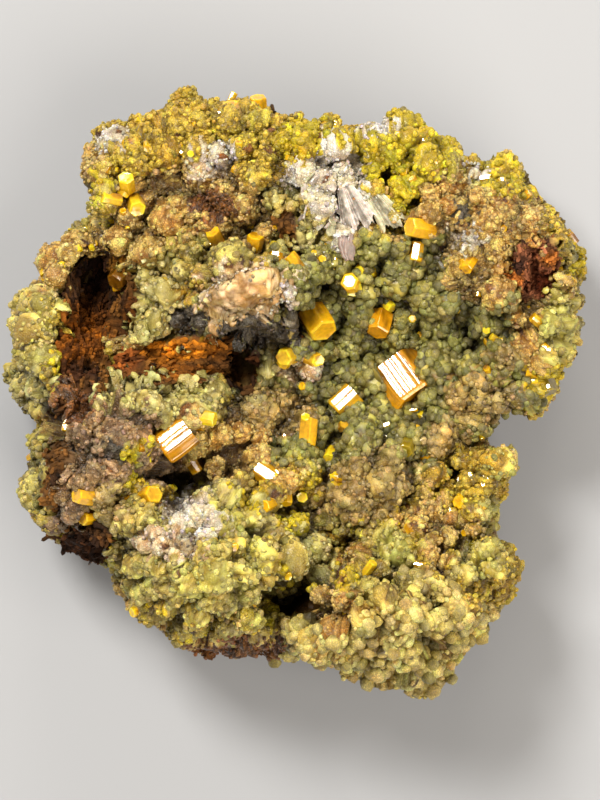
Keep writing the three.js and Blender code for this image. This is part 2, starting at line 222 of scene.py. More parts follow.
# Where each finish lies: name, middle and reach in pixels of the view, turn in degrees. Later
# rows lie over earlier ones.
ZONES = [
    ("green", 380, 360, 150, 130, 0), ("lemon", 250, 130, 180, 60, -8),
    ("lemon", 130, 130, 60, 45, -20), ("lime", 400, 150, 60, 42, 10),
    ("lime", 310, 140, 36, 26, 0), ("lime", 400, 196, 18, 22, 0), ("tan", 195, 215, 80, 45, 0),
    ("moss", 200, 262, 56, 20, 0), ("rust", 215, 206, 26, 14, -10),
    ("cream", 205, 176, 16, 10, 0), ("sage", 155, 312, 34, 42, 20), ("sage", 160, 275, 26, 20, 0),
    ("corn", 500, 222, 62, 44, 20), ("lime", 500, 180, 45, 15, -12),
    ("lemon", 560, 225, 16, 22, 60), ("tan", 545, 330, 35, 50, 0), ("pale", 556, 338, 20, 44, 0),
    ("tan", 480, 260, 40, 50, 0), ("beige", 480, 400, 40, 26, 10), ("beige", 503, 358, 14, 14, 0),
    ("lime", 545, 378, 24, 14, 30), ("slate_and_shade", 462, 214, 9, 8, 0), ("white", 468, 242, 18, 8, -10),
    ("sage", 165, 395, 62, 36, 8), ("cream", 245, 298, 46, 30, 12), ("sage", 262, 356, 28, 22, 0),
    ("cream", 302, 372, 24, 14, 0), ("beige", 272, 410, 46, 26, 0),
    # The slate row here lies under the pale ridge: dark grey crust and partly painted shade under
    # it
    ("slate_and_shade", 256, 334, 42, 15, 8), ("tan", 210, 450, 60, 30, 0), ("beige", 365, 485, 56, 32, 20),
    ("beige", 445, 440, 26, 24, 0), ("lemon", 470, 480, 40, 40, 0), ("pale", 494, 464, 18, 18, 0),
    ("pale", 492, 512, 15, 20, 0), ("ledge", 190, 560, 85, 52, -12),
    ("pale", 238, 535, 22, 40, 20), ("pale", 200, 585, 22, 26, 0), ("pale", 388, 548, 22, 22, 0),
    ("cream", 168, 538, 34, 15, -10), ("white", 195, 514, 30, 18, -20),
    ("knob", 390, 635, 110, 66, 10), ("tan", 330, 600, 30, 22, 0), ("moss", 372, 585, 30, 14, 0),
    ("lemon", 495, 575, 40, 26, 20), ("pale", 482, 556, 26, 16, 30), ("fawn", 86, 482, 44, 50, 0),
    ("fawn", 128, 424, 34, 18, -10), ("fawn", 165, 464, 24, 20, 0),
    ("beige", 112, 500, 20, 24, 0), ("ledge", 30, 470, 20, 46, 0), ("bare", 98, 300, 38, 54, 0),
    ("bare", 86, 368, 26, 34, 10), ("rust", 74, 404, 28, 18, 0), ("bare", 180, 360, 66, 22, 4),
    ("bare", 80, 548, 44, 26, 20), ("bare", 62, 462, 10, 54, -6), ("rust", 235, 648, 60, 18, 8),
    ("tan", 48, 262, 22, 36, -20), ("ledge", 24, 330, 30, 50, 10), ("sage", 28, 388, 26, 24, 0),
    ("tan", 88, 160, 19, 28, 10), ("tan", 75, 244, 40, 13, 10), ("bare", 528, 272, 27, 30, 0),
    ("bare", 290, 232, 10, 26, 20), ("bare", 240, 372, 20, 20, 0), ("slate_and_shade", 190, 322, 22, 14, 0),
    ("slate_and_shade", 293, 330, 12, 20, 0), ("slate_and_shade", 118, 452, 10, 9, 0),
    ("stone", 248, 298, 46, 19, 22), ("white", 288, 296, 10, 18, 0),
    ("white", 338, 196, 34, 46, 10), ("white", 333, 166, 15, 20, 0),
    ("white", 303, 180, 22, 13, 10), ("sage", 312, 232, 16, 16, 0),
    ("white", 114, 138, 20, 12, 30), ("corn", 450, 186, 22, 16, 0),
    ("white", 474, 170, 15, 9, -20), ("white", 375, 128, 20, 15, 10),
    ("white", 218, 158, 17, 12, 0), ("white", 288, 290, 10, 12, 0),
]

RIM_LEVEL = 14.0  # mm, height below which the finishes stray from their places in the view

# Single places, by middle and reach in pixels of the view
KNOBS = (400, 620, 140, 80)  # the lower right end of the crust, whose lumps are small
RIGHT_PATCH = (528, 272, 30, 34)  # the bare rock by the right edge
FIBRE_BAND = (180, 356, 74, 26)  # the fibrous rock that lies across the cavity's mouth
CAVITY = (98, 320, 60, 90)
FAN = (348, 212, 50, 48)
NOSE = (268, 297, 26, 24)  # the pale ridge

# Dark holes and hollows: middle and reach in pixels of the view, depth in mm
HOLLOWS = [
    (90, 270, 22, 20, 2.0), (238, 372, 18, 22, 4.0), (385, 180, 11, 16, 3.0),
    (190, 478, 30, 16, 3.0), (452, 478, 14, 14, 3.5), (295, 598, 26, 20, 4.0),
    (467, 325, 14, 20, 2.5), (300, 400, 16, 14, 1.6), (530, 275, 9, 26, 2.0),
    (268, 345, 18, 10, 2.2), (60, 430, 18, 22, 2.5), (420, 415, 20, 12, 1.4),
    (300, 500, 26, 16, 2.2), (330, 290, 20, 10, 1.6), (480, 345, 16, 12, 2.0),
    (230, 470, 16, 12, 1.8), (300, 318, 9, 20, 2.4), (250, 335, 26, 8, 1.8),
    (400, 500, 14, 12, 1.6), (150, 240, 22, 12, 1.4), (240, 240, 20, 12, 1.6),
    (430, 250, 14, 12, 1.4), (350, 540, 18, 10, 1.8),
]

# Mounds that stand over their surroundings, in the same way, with the height in mm
MOUNDS = [
    (372, 372, 20, 17, 2.4), (437, 366, 13, 26, 2.4), (329, 133, 13, 13, 0.9),
    (303, 150, 16, 16, 0.9), (166, 290, 15, 11, 1.6), (150, 322, 13, 15, 1.5),
    (362, 484, 32, 18, 1.5), (490, 465, 14, 14, 1.6), (503, 358, 11, 12, 1.3),
    (425, 470, 14, 16, 1.2), (390, 545, 16, 16, 1.2), (248, 298, 44, 12, 1.0),
    (205, 418, 20, 12, 1.0), (130, 400, 20, 12, 1.0), (445, 500, 16, 12, 1.0),
    (300, 455, 14, 12, 1.0), (505, 575, 18, 12, 1.2), (405, 190, 14, 12, 1.0),
    (262, 284, 26, 11, 1.3), (450, 184, 19, 15, 1.8), (375, 150, 16, 12, 1.0),
    (420, 150, 14, 14, 1.0),
]

# Where the lumps stand out less or more: middle and reach in pixels of the view, factor
FIRMNESS = [
    (500, 215, 66, 42, 0.35), (480, 260, 40, 30, 0.6), (200, 520, 60, 40, 0.7),
    (400, 640, 130, 60, 1.9),
]

# Ground colours under the grains: middle and reach in pixels of the view, colour. The near-black
# spot in the cavity and the dark grey ones by the pale ridge are partly painted shade.
GROUND = [
    (75, 335, 40, 30, "7a4408"), (180, 350, 50, 12, "b06a12"), (185, 372, 40, 8, "7e4a10"),
    (125, 355, 18, 20, "84481a"), (235, 300, 60, 26, "8e7250"), (528, 272, 28, 30, "865236"),
    (510, 280, 12, 20, "b46c2c"), (540, 285, 10, 16, "4a1e08"), (195, 320, 12, 9, "2c2c34"),
    (515, 268, 8, 8, "3a2218"), (505, 262, 7, 6, "c47830"), (545, 262, 9, 8, "ac682a"),
    (292, 330, 12, 10, "2c2c36"), (118, 452, 10, 9, "33302f"), (80, 550, 44, 24, "3a2110"),
    (235, 648, 60, 16, "5c3c18"), (210, 390, 22, 14, "4a2c10"), (60, 440, 26, 30, "5c3c18"),
    (95, 275, 26, 24, "2c1604"), (140, 320, 16, 30, "5a3208"), (345, 210, 50, 50, "86796c"),
    (268, 297, 30, 28, "caa67a"), (226, 320, 26, 14, "71604e"), (118, 268, 12, 16, "7c5212"),
]


def edge_wave(points):
    """How far the edges of the zones wander at each point, as a factor round 1."""
    flat = points * [1, 1, 0]
    return 1 + 0.22 * noise(flat, 3.1) + 0.14 * noise(flat, 1.2)


def zone_reach(points, wave, px, py, rx, ry, turn=0.0):
    """How far each point lies from a zone's middle, with 1 on its wavy oval edge."""
    away = points[:, :2] - on_face(px, py)
    a = math.radians(turn)
    along = away[:, 0] * math.cos(a) + away[:, 1] * math.sin(a)
    across = away[:, 1] * math.cos(a) - away[:, 0] * math.sin(a)
    return np.hypot(along / (rx * PIXEL), across / (ry * PIXEL)) / wave


def nearness(points, wave, place, inner, outer):
    """1 inside the inner share of a place's reach, falling to 0 at the outer share of it."""
    return 1 - smoothstep(inner, outer, zone_reach(points, wave, *place))


def noises(points, size, shifts):
    """Values of the same noise, one column for each shift of the points."""
    return np.column_stack([noise(points + shift, size) for shift in shifts])


def finish_kinds(points):
    """The finish at each point, as its row: that of the last zone whose wavy edge holds it, and
    elsewhere one by broad and narrow noise. Below the rim the zones are bent about by noise, and
    the white, slate and cream ones end."""
    wave = edge_wave(points)
    broad, narrow = noise(points, 4.0), noise(points + 50, 2.2)
    chances = [broad > 0.3, broad > 0.05, narrow > 0.35, broad < -0.35]
    found = np.select(chances, [TAN, LEMON, LIME, SAGE], MOSS)
    below = np.maximum(RIM_LEVEL - points[:, 2], 0)
    stray = 0.6 * below[:, None] * noises(points, 5.0, (20, 30, 0)) * [1, 1, 0]
    for name, *place in ZONES:
        found[zone_reach(points + stray, wave, *place) < 1] = FINISH_NAMES.index(name)
    found[np.isin(found, NEUTRAL) & (below > 1 + noise(points, 1.5))] = LEMON
    return found


# The rock's own surface

rng = np.random.default_rng(7)

FACE_CELLS = 236  # cells across the face
SIDE_CELLS = 22  # cells down the sides
AROUND = 4 * FACE_CELLS
ROCK_LEVELS = np.linspace(0.2, 20, 34)  # mm, heights at which the sides are felt for
ROCK_ANGLES = np.linspace(-math.pi, math.pi, 721)  # and the ways in which they are
WIDEST_LEVEL = 11.0  # mm, height of the widest line
FACE_SHARE = 0.985  # how far out towards the widest line the face goes
CRUST_FOOT = WIDEST_LEVEL - 4  # mm, height of the crust's lower edge
LUMP_TRIES, LUMP_COUNT = 9000, 700  # places tried for lumps, and the most that are kept
LUMP_FOOT = -1.1  # mm, height of the gaps between the lumps


def solid_tree(*names):
    """A ray-casting tree over the triangles of some of the frame's solids."""
    points, faces = [], []
    for name in names:
        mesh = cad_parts[name].data
        start = len(points)
        points += [v.co.copy() for v in mesh.vertices]
        faces += [[start + i for i in p.vertices] for p in mesh.polygons]
    return BVHTree.FromPolygons(points, faces)


def side_radii(tree, angles, levels):
    """Distance from the axis to the solid, felt from outside at each angle and height."""
    out = np.zeros((len(angles), len(levels)))
    for i, angle in enumerate(angles):
        toward = Vector((-math.cos(angle), -math.sin(angle), 0))
        for j, level in enumerate(levels):
            start = Vector((BESIDE * math.cos(angle), BESIDE * math.sin(angle), level * MM))
            hit = tree.ray_cast(start, toward)[0]
            out[i, j] = math.hypot(hit.x, hit.y) / MM if hit else 0
    return out


def heights_under(tree, x, y):
    """Height in mm of the solid under each place, felt from above, and -1 beside it."""
    down = Vector((0, 0, -1))
    hits = [tree.ray_cast(Vector((a * MM, b * MM, ABOVE)), down)[0] for a, b in zip(x, y)]
    return np.array([hit.z / MM if hit else -1.0 for hit in hits])


def blurred(grid, passes):
    """Each value replaced by the weighted mean 1-2-1 of its neighbours along both axes."""
    for _ in range(passes):
        wide = np.pad(grid, 1, mode="edge")
        rows = (wide[:-2, 1:-1] + 2 * wide[1:-1, 1:-1] + wide[2:, 1:-1]) / 4
        wide = np.pad(rows, 1, mode="edge")
        grid = (wide[1:-1, :-2] + 2 * wide[1:-1, 1:-1] + wide[1:-1, 2:]) / 4
    return grid


def border_ring(n):
    """Indices of an (n+1) x (n+1) grid's border, anticlockwise from its first corner."""
    index = np.arange((n + 1) ** 2).reshape(n + 1, n + 1)
    return np.concatenate([index[:-1, 0], index[-1, :-1], index[:0:-1, -1], index[0, :0:-1]])


def point_normals(points, quads):
    """Mean of the cross products of the diagonals of the quads round each point."""
    a, b, c, d = (points[quads[:, i]] for i in range(4))
    across = np.cross(c - a, d - b)
    total = np.zeros_like(points)
    for i in range(4):
        np.add.at(total, quads[:, i], across)
    return unit(total)


def rock_surface(tree):
    """Points, quads and lowest ring of the plain rock. The face is a grid over a square carried
    onto the outline's disc, as high as the solid felt from above; the sides run from its border
    down to the flat cut."""
    n = FACE_CELLS
    u, v = np.meshgrid(np.linspace(-1, 1, n + 1), np.linspace(-1, 1, n + 1), indexing="ij")
    dx, dy = u * np.sqrt(1 - v * v / 2), v * np.sqrt(1 - u * u / 2)
    share, angle = np.hypot(dx, dy), np.arctan2(dy, dx)
    radii = side_radii(tree, ROCK_ANGLES, ROCK_LEVELS)
    reach = share * np.interp(angle, ROCK_ANGLES, radii.max(axis=1)) * FACE_SHARE
    x, y = reach * np.cos(angle), reach * np.sin(angle)
    z = heights_under(tree, x.ravel(), y.ravel()).reshape(x.shape)
    z[z < 0] = WIDEST_LEVEL
    z = blurred(z, 3)
    edge = smoothstep(0.93, 1.0, share)
    z = z * (1 - edge) + np.minimum(z, WIDEST_LEVEL + 2) * edge
    face = np.column_stack([x.ravel(), y.ravel(), z.ravel()])
    ring = border_ring(n)
    ring_angle = angle.ravel()[ring]
    rows = [face]
    for step, height in enumerate(np.linspace(WIDEST_LEVEL, 0, SIDE_CELLS + 1)[1:], 1):
        nearest = np.abs(ROCK_LEVELS - height).argmin()
        felt = np.interp(ring_angle, ROCK_ANGLES, radii[:, nearest])
        level = face[ring, 2] * (1 - step / SIDE_CELLS)
        rows.append(np.column_stack([felt * np.cos(ring_angle), felt * np.sin(ring_angle), level]))
    upper = ring
    quads = [grid_quads(np.arange((n + 1) ** 2).reshape(n + 1, n + 1))]
    for step in range(SIDE_CELLS):
        lower = (n + 1) ** 2 + step * AROUND + np.arange(AROUND)
        quads.append(np.stack([upper, lower, np.roll(lower, -1), np.roll(upper, -1)], -1))
        upper = lower
    return np.concatenate(rows), np.concatenate(quads), upper


def lump_places(points):
    """Middles and radii in mm of the lumps that the crust is gathered into, kept apart."""
    high = np.flatnonzero(points[:, 2] > CRUST_FOOT)
    knobbly = zone_reach(points, edge_wave(points), *KNOBS) < 1
    middles, radii = np.zeros((0, 3)), np.zeros(0)
    for pick in rng.choice(high, LUMP_TRIES):
        radius = (0.8 + 0.6 * rng.random()) if knobbly[pick] else 0.9 + 1.5 * rng.random() ** 1.6
        away = np.linalg.norm(middles - points[pick], axis=1) - 0.72 * (radii + radius)
        if len(middles) < LUMP_COUNT and (away > 0).all():
            middles, radii = np.vstack([middles, points[pick]]), np.append(radii, radius)
    return middles, radii


def lump_relief(points, kinds, lumps):
    """How far the surface stands out in mm: wobbly domes over the lumps, torn ridges where the rock
    is bare, low folds on the stony ridge, hollows and mounds with soft walls, and three sizes of
    noise."""
    dome = np.full(len(points), LUMP_FOOT)
    wobble = 1 + 0.25 * noise(points, 0.9)
    for middle, radius in zip(*lumps):
        box = np.flatnonzero(np.abs(points - middle).max(axis=1) < radius)
        away = np.linalg.norm(points[box] - middle, axis=1) / radius * wobble[box]
        rise = (0.5 + 0.75 * radius) * (np.sqrt(np.maximum(1 - away ** 2, 0)) * 1.35 - 0.65)
        dome[box] = np.maximum(dome[box], np.where(away < 1, rise, LUMP_FOOT))
    wave = edge_wave(points)
    for *place, factor in FIRMNESS:
        dome *= 1 + (factor - 1) * nearness(points, wave, place, 0.6, 1.1)
    ridges = 1.2 * (1 - 2 * np.abs(noise(points * [1, 0.6, 1], 2.3)))
    ridges += 0.6 * (1 - 2 * np.abs(noise(points, 1.0))) - 0.6
    folds = 0.4 + 0.5 * noise(points * [0.6, 1.2, 1], 1.3)
    folds += 0.4 * noise(points * [1, 0.3, 0.3], 0.7)
    out = np.select([kinds == BARE, kinds == STONE], [ridges, folds], dome)
    out += 0.5 * noise(points, 3.0) + 0.3 * noise(points, 1.2) + 0.16 * noise(points, 0.55)
    for *place, depth in HOLLOWS:
        out -= depth * nearness(points, wave, place, 0.45, 1.1)
    for *place, height in MOUNDS:
        out += height * nearness(points, wave, place, 0.5, 1.1)
    return out


def ground_colours(points):
    """Brown rock, patched by noise between dark umber and ochre, with the named ground spots."""
    umber, ochre, rust = linear("241408"), linear("6b461a"), linear("4a280e")
    share = smoothstep(-0.4, 0.6, noise(points, 2.6) * 0.6 + noise(points, 0.8) * 0.5)[:, None]
    colour = umber * (1 - share) + ochre * share
    red = smoothstep(0.1, 0.6, noise(points + 40, 4.0))[:, None]
    colour = colour * (1 - 0.6 * red) + rust * 0.6 * red
    wave = edge_wave(points)
    for *place, spot in GROUND:
        near = nearness(points, wave, place, 0.6, 1.2)[:, None] * (points[:, 2:] > CRUST_FOOT + 1)
        grain = (0.75 + 0.5 * noise(points, 0.5))[:, None]
        colour = colour * (1 - near) + linear(spot) * grain * near
    kinds = finish_kinds(points)
    crusted = (smoothstep(7.0, 9.5, points[:, 2] + noise(points, 2.0)) * (kinds != BARE))[:, None]
    dusty = 0.6 * GAP_COLOURS_AND_SHADE[kinds] + 0.4 * TOPS[kinds]
    dusty *= (0.7 + 0.5 * noise(points, 0.7))[:, None]
    return np.clip(colour * (1 - crusted) + dusty * crusted, 0.002, 1)


# The granular skin of the crust

SKIN_CELLS = 540  # cells across the skin
TILES = 2  # the skin is cut into this many tiles each way
UNDER_CELLS = 6  # cells of the skin over one of its underside
UNDER_PULL = 0.07  # how far the border of the underside is drawn in, as a share of its reach
COARSE_GRAIN, FINE_GRAIN = 1.05, 0.5  # mm from one granule to the next


def resampled(grid, count):
    """A grid of points drawn again with another number of cells, each blended from four."""
    at = np.linspace(0, len(grid) - 1, count + 1)
    low = np.minimum(at.astype(int), len(grid) - 2)
    part = (at - low)[:, None]
    rows = grid[low] * (1 - part[:, None]) + grid[low + 1] * part[:, None]
    return rows[:, low] * (1 - part) + rows[:, low + 1] * part


def grid_normals(grid, passes):
    """Cross product of the steps along the two ways of a grid, after some evening out."""
    even = np.stack([blurred(grid[..., k], passes) for k in range(3)], -1)
    return unit(np.cross(np.gradient(even, axis=0), np.gradient(even, axis=1)))


def lowest_round(values, cells):
    """The lowest value within so many cells of every cells-th point of a grid."""
    wide, n = np.pad(values, cells, mode="edge"), len(values)
    steps = product(range(2 * cells + 1), repeat=2)
    return np.min([wide[i:i + n:cells, j:j + n:cells] for i, j in steps], axis=0)


def dome_of(first, second):
    """Height of a granule from 0 in the crease to 1 on its seed: sqrt(1 - (1 - e)^2), where e is
    the difference of the two nearest distances over their sum."""
    e = (second - first) / (second + first)
    return np.sqrt(np.maximum(1 - (1 - e) ** 2, 0))


CREVICE_SHADE = linear("2e1c03")  # painted shade: colour drawn into the deep gaps between the lumps and on cliffs; also the colour of the hidden underside


def skin_surface(face, lumps):
    """The face's points carried out by the lumps and then by coarse and fine granules, which
    dwindle on cliffs; the points of an underside, 1 mm below the lowest skin round them; and the
    colour of each point, from the finish's gap colour to its top colour by how far the granules
    rise there, darkened further as painted shade in deep gaps and on cliffs, with how sugary it
    is as a fourth value."""
    grid = resampled(face, SKIN_CELLS)
    shape = grid.shape[:2]
    plain = grid.reshape(-1, 3)
    bend = plain + 0.18 * noises(plain, 0.7, (7, 14, 21))
    coarse, first, second = seeds_near(bend, COARSE_GRAIN)
    big = dome_of(first, second) * (0.75 + 0.45 * by_seed(coarse, 5))
    fine, first, second = seeds_near(bend, FINE_GRAIN)
    small = dome_of(first, second) * (0.75 + 0.45 * by_seed(fine, 6))
    stray = 0.9 * np.column_stack([by_seed(fine, 11), by_seed(fine, 12), 0 * first])
    kinds = finish_kinds(fine + stray)
    kinds = np.where((FINE[kinds] > 0.2) & (by_seed(fine, 18) > 0.95), RUST, kinds)
    neutral = np.isin(kinds, NEUTRAL)

    border = np.abs(np.linspace(-1, 1, len(grid)))
    edge = np.maximum(border[:, None], border[None])
    depth = lump_relief(plain, kinds, lumps)
    normals = grid_normals(grid, 2)
    cliff = 1 - smoothstep(0.12, 0.32, normals[..., 2])
    cliff = (cliff * (1 - smoothstep(0.82, 0.9, edge))).ravel()
    granules = COARSE[kinds] * big + FINE[kinds] * small
    out = grid + normals * depth.reshape(*shape, 1)
    out = out + grid_normals(out, 4) * (granules * (1 - 0.85 * cliff)).reshape(*shape, 1)
    out[..., 2] -= 3.0 * (kinds == BARE).reshape(shape) + 0.5 * smoothstep(0.985, 1.0, edge)
    coarser = (slice(None, None, UNDER_CELLS),) * 2
    pull = 1 - UNDER_PULL * smoothstep(0.7, 1.0, edge[coarser])[..., None]
    under = np.dstack([grid[coarser][..., :2] * pull, lowest_round(out[..., 2], UNDER_CELLS) - 1])

    share = granules / (COARSE[kinds] + FINE[kinds] + 1e-6)
    share = smoothstep(0.1, 0.75, share)[:, None]
    # Partly the browner ground between the granules, partly painted shade: darker down in the
    # creases, lighter on their tops
    tint = GAP_COLOURS_AND_SHADE[kinds] * (1 - share) + TOPS[kinds] * share
    fibres = noise(bend * [1, 0.3, 0.3], 0.4) * (kinds == STONE)
    lightness = 0.26 * by_seed(fine, 13) + 0.16 * by_seed(coarse, 14) + 0.4 * fibres
    tint = tint * np.exp(lightness)[:, None]
    hue = noise(plain, 1.8) * np.where(neutral, 0.15, 1)
    tint = tint * (1 + np.array([0.12, -0.06, -0.24]) * hue[:, None])
    tint = tint * (1 + np.column_stack([0.06 * by_seed(fine, 15), 0.03 * by_seed(fine, 16),
                                        -0.12 + 0.12 * by_seed(coarse, 17)]))
    # Painted shade: the tint is drawn toward the dark crevice colour where the skin lies deep
    # between lumps and on steep cliffs, less on the white, slate and cream finishes
    crevice_shade = np.where(neutral, 0.35, 0.8) * (1 - smoothstep(-1.3, 0.1, depth))
    crevice_shade = np.maximum(crevice_shade, 0.85 * cliff)[:, None]
    tint = tint * (1 - crevice_shade) + CREVICE_SHADE * crevice_shade
    sugary = smoothstep(0.05, 0.36, FINE[kinds])
    tint = np.column_stack([np.clip(tint, 0.002, 0.95), sugary])
    return out, under, tint.reshape(*shape, 4)


def closed_tile(top, under):
    """A tile of skin closed from below: the quads of its top, those of an underside that has one
    cell for UNDER_CELLS of the top, and a band of triangles between the two borders."""
    m, k = len(top) - 1, len(under) - 1
    index = np.arange((m + 1) ** 2).reshape(m + 1, m + 1)
    below = (m + 1) ** 2 + np.arange((k + 1) ** 2).reshape(k + 1, k + 1)
    ring, low = border_ring(m), below.ravel()[border_ring(k)]
    band = np.stack([ring, np.repeat(low, UNDER_CELLS), np.roll(ring, -1)], -1)
    ends = np.stack([np.roll(ring[::UNDER_CELLS], -1), low, np.roll(low, -1)], -1)
    points = np.concatenate([top.reshape(-1, 3), under.reshape(-1, 3)])
    return points, [grid_quads(index), grid_quads(below.T), np.concatenate([band, ends])]


# Grains of the crust

GRAIN_FOOT = 8.0  # mm, height round which the grains end
SKIN_THROWS, SIDE_THROWS = 47000, 11000  # grains thrown on the skin and on the sides
SIDE_COVER = 3.0  # how much denser they are let stand on the sides, where no skin lies
GRAIN_GAP = 0.62  # least distance of two grains as a share of the sum of their radii
LARGE_BALL = 0.36  # mm, radius from which a ball is drawn with more faces
PIECE_TRIANGLES = 190000  # most triangles in a piece of grains


def thin_out(spots, radii):
    """Indices of the places, largest first, that stand far enough from those kept before."""
    cells, kept = {}, []
    neighbours = list(product((-1, 0, 1), repeat=3))
    homes = np.floor(spots / (2 * LARGEST.max())).astype(int)
    for i in np.argsort(-radii):
        x, y, z = homes[i]
        near = [j for a, b, c in neighbours for j in cells.get((x + a, y + b, z + c), ())]
        if near:
            gap = (radii[near] + radii[i]) * GRAIN_GAP
            if (((spots[near] - spots[i]) ** 2).sum(axis=1) < gap * gap).any():
                continue
        cells.setdefault((x, y, z), []).append(i)
        kept.append(i)
    return np.array(kept)


def scatter(points, quads, count, cover=1.0):
    """Grains thrown on a surface by area, more of them on steep walls: places, ways out, radii and
    finishes. Cover raises the share of the surface that they take."""
    a, b, c, d = (points[quads[:, i]] for i in range(4))
    cross = np.cross(c - a, d - b)
    area, normal = np.linalg.norm(cross, axis=1), unit(cross)
    middle = (a + c) / 2
    foot = GRAIN_FOOT + 2.6 * noise(middle, 6.0) + 1.6 * noise(middle, 1.8)
    weight = area * ((middle[:, 2] > foot) & (normal[:, 2] > -0.3))
    chosen = rng.choice(len(quads), count, p=weight / weight.sum())
    s, t = rng.random((2, count, 1))
    near, far = a[chosen] * (1 - s) + b[chosen] * s, d[chosen] * (1 - s) + c[chosen] * s
    spots = near * (1 - t) + far * t
    kinds = finish_kinds(spots)
    radii = LEAST[kinds] + (LARGEST - LEAST)[kinds] * rng.random(count) ** 1.8
    steep = 1 + 4 * (normal[chosen, 2] < 0.6)
    grown = np.flatnonzero(rng.random(count) < COVER[kinds] * cover * steep)
    kept = grown[thin_out(spots[grown], radii[grown])]
    return spots[kept], normal[chosen[kept]], radii[kept], kinds[kept]


def turned_profile(centres, axes, radii, profile, around, stretch, slender=1.0):
    """Closed turned shapes, many at once. At step k of the profile, which gives out and up, and
    angle a round the axis a point lies at r (out cos a, out sin a, slender up); the two end steps
    are tips."""
    count, rings = len(centres), len(profile) - 2
    side = unit(np.cross(axes, rng.normal(size=(count, 3))))
    other = np.cross(axes, side)
    a = np.arange(around) * 2 * math.pi / around
    out, up = np.array(profile)[1:-1, :2].T
    ring = np.stack([np.outer(out, np.cos(a)), np.outer(out, np.sin(a)),
                     np.outer(up, np.ones(around))], -1)
    tip, root = ([[0, 0, row[1]]] for row in (profile[0], profile[-1]))
    local = np.concatenate([tip, ring.reshape(-1, 3), root])
    step = np.concatenate([[0], np.repeat(np.arange(1, rings + 1), around), [rings + 1]])
    shape = local[None] * (1 + stretch * rng.uniform(-1, 1, (count, 1, 3))) * radii[:, None, None]
    shape = shape * [1, 1, slender]
    points = (centres[:, None] + side[:, None] * shape[..., :1] + other[:, None] * shape[..., 1:2]
              + axes[:, None] * shape[..., 2:])
    start = (np.arange(count) * len(local))[:, None, None]
    quads, ends = tube_faces(rings, around)
    faces = [(quads + start).reshape(-1, 4), (ends + start).reshape(-1, 3)]
    return points.reshape(-1, 3), faces, np.tile(step, count)


# Each step of a grain's profile: out from the axis, up along it, and how pale the grain is there, a
# painted light that stands for light shining through its thin rims
BALL = [(0, 1, 0), (0.5, 0.87, 0.2), (0.87, 0.48, 0.7), (1, -0.1, 1), (0.6, -0.8, 1), (0, -1.1, 1)]
SMALL_BALL = [(0, 1, 0.4), (0.8, 0.62, 0.7), (0.93, -0.3, 1), (0, -1, 1)]
BARREL = [(0, 0.95, 0.4), (0.72, 0.95, 0.6), (0.95, 0.55, 1), (0.9, -0.5, 1), (0, -1, 1)]


def roughened(points, centres, amount, size):
    """Points moved in or out from their centres by noise, by an amount in mm for each."""
    bumps = noise(points, size) + 0.6 * noise(points + 9, size / 2)
    return points + unit(points - centres) * (bumps * amount)[:, None]


# Materials


def connect(tree, node, links):
    """Joins inputs of a node, by name or number, to the (node, output) pairs given for them."""
    for key, (source, output) in dict(links).items():
        tree.links.new(source.outputs[output], node.inputs[key])


def add_node(tree, kind, settings=(), inputs=(), links=()):
    """A shader node with its settings, input values and links from (node, output) pairs."""
    node = tree.nodes.new(kind)
    for key, value in dict(settings).items():
        setattr(node, key, value)
    for key, value in dict(inputs).items():
        node.inputs[key].default_value = value
    connect(tree, node, links)
    return node


def new_material(name, **values):
    """An empty Principled material with its plain values; gives the tree and the shader too."""
    material = bpy.data.materials.new(name)
    material.use_nodes = True
    shader = material.node_tree.nodes["Principled BSDF"]
    for key, value in values.items():
        shader.inputs[key.replace("_", " ")].default_value = value
    return material, material.node_tree, shader


def mineral(name, grit_mm, grit_depth, blotch_mm, light, dark, **values):
    """Colour from the piece's tint, blotched lighter and darker, and fine grit as bump."""
    material, tree, shader = new_material(name, **values)
    place = add_node(tree, "ShaderNodeTexCoord")
    tint = add_node(tree, "ShaderNodeAttribute", {"attribute_name": "tint"})
    blotch = add_node(tree, "ShaderNodeTexNoise",
                      inputs={"Scale": 1 / (blotch_mm * MM), "Detail": 4.0},
                      links={"Vector": (place, "Object")})
    spread = add_node(tree, "ShaderNodeMapRange",
                      inputs={"From Min": 0.3, "From Max": 0.7, "To Min": dark, "To Max": light},
                      links={"Value": (blotch, "Fac")})
    shade = add_node(tree, "ShaderNodeVectorMath", {"operation": "SCALE"},
                     links={"Vector": (tint, "Color"), "Scale": (spread, "Result")})
    grit = add_node(tree, "ShaderNodeTexNoise",
                    inputs={"Scale": 1 / (grit_mm * MM), "Detail": 3.0},
                    links={"Vector": (place, "Object")})
    bump = add_node(tree, "ShaderNodeBump", inputs={"Strength": 1.0, "Distance": grit_depth * MM},
                    links={"Height": (grit, "Fac")})
    connect(tree, shader, {"Base Color": (shade, "Vector"), "Normal": (bump, "Normal")})
    return material


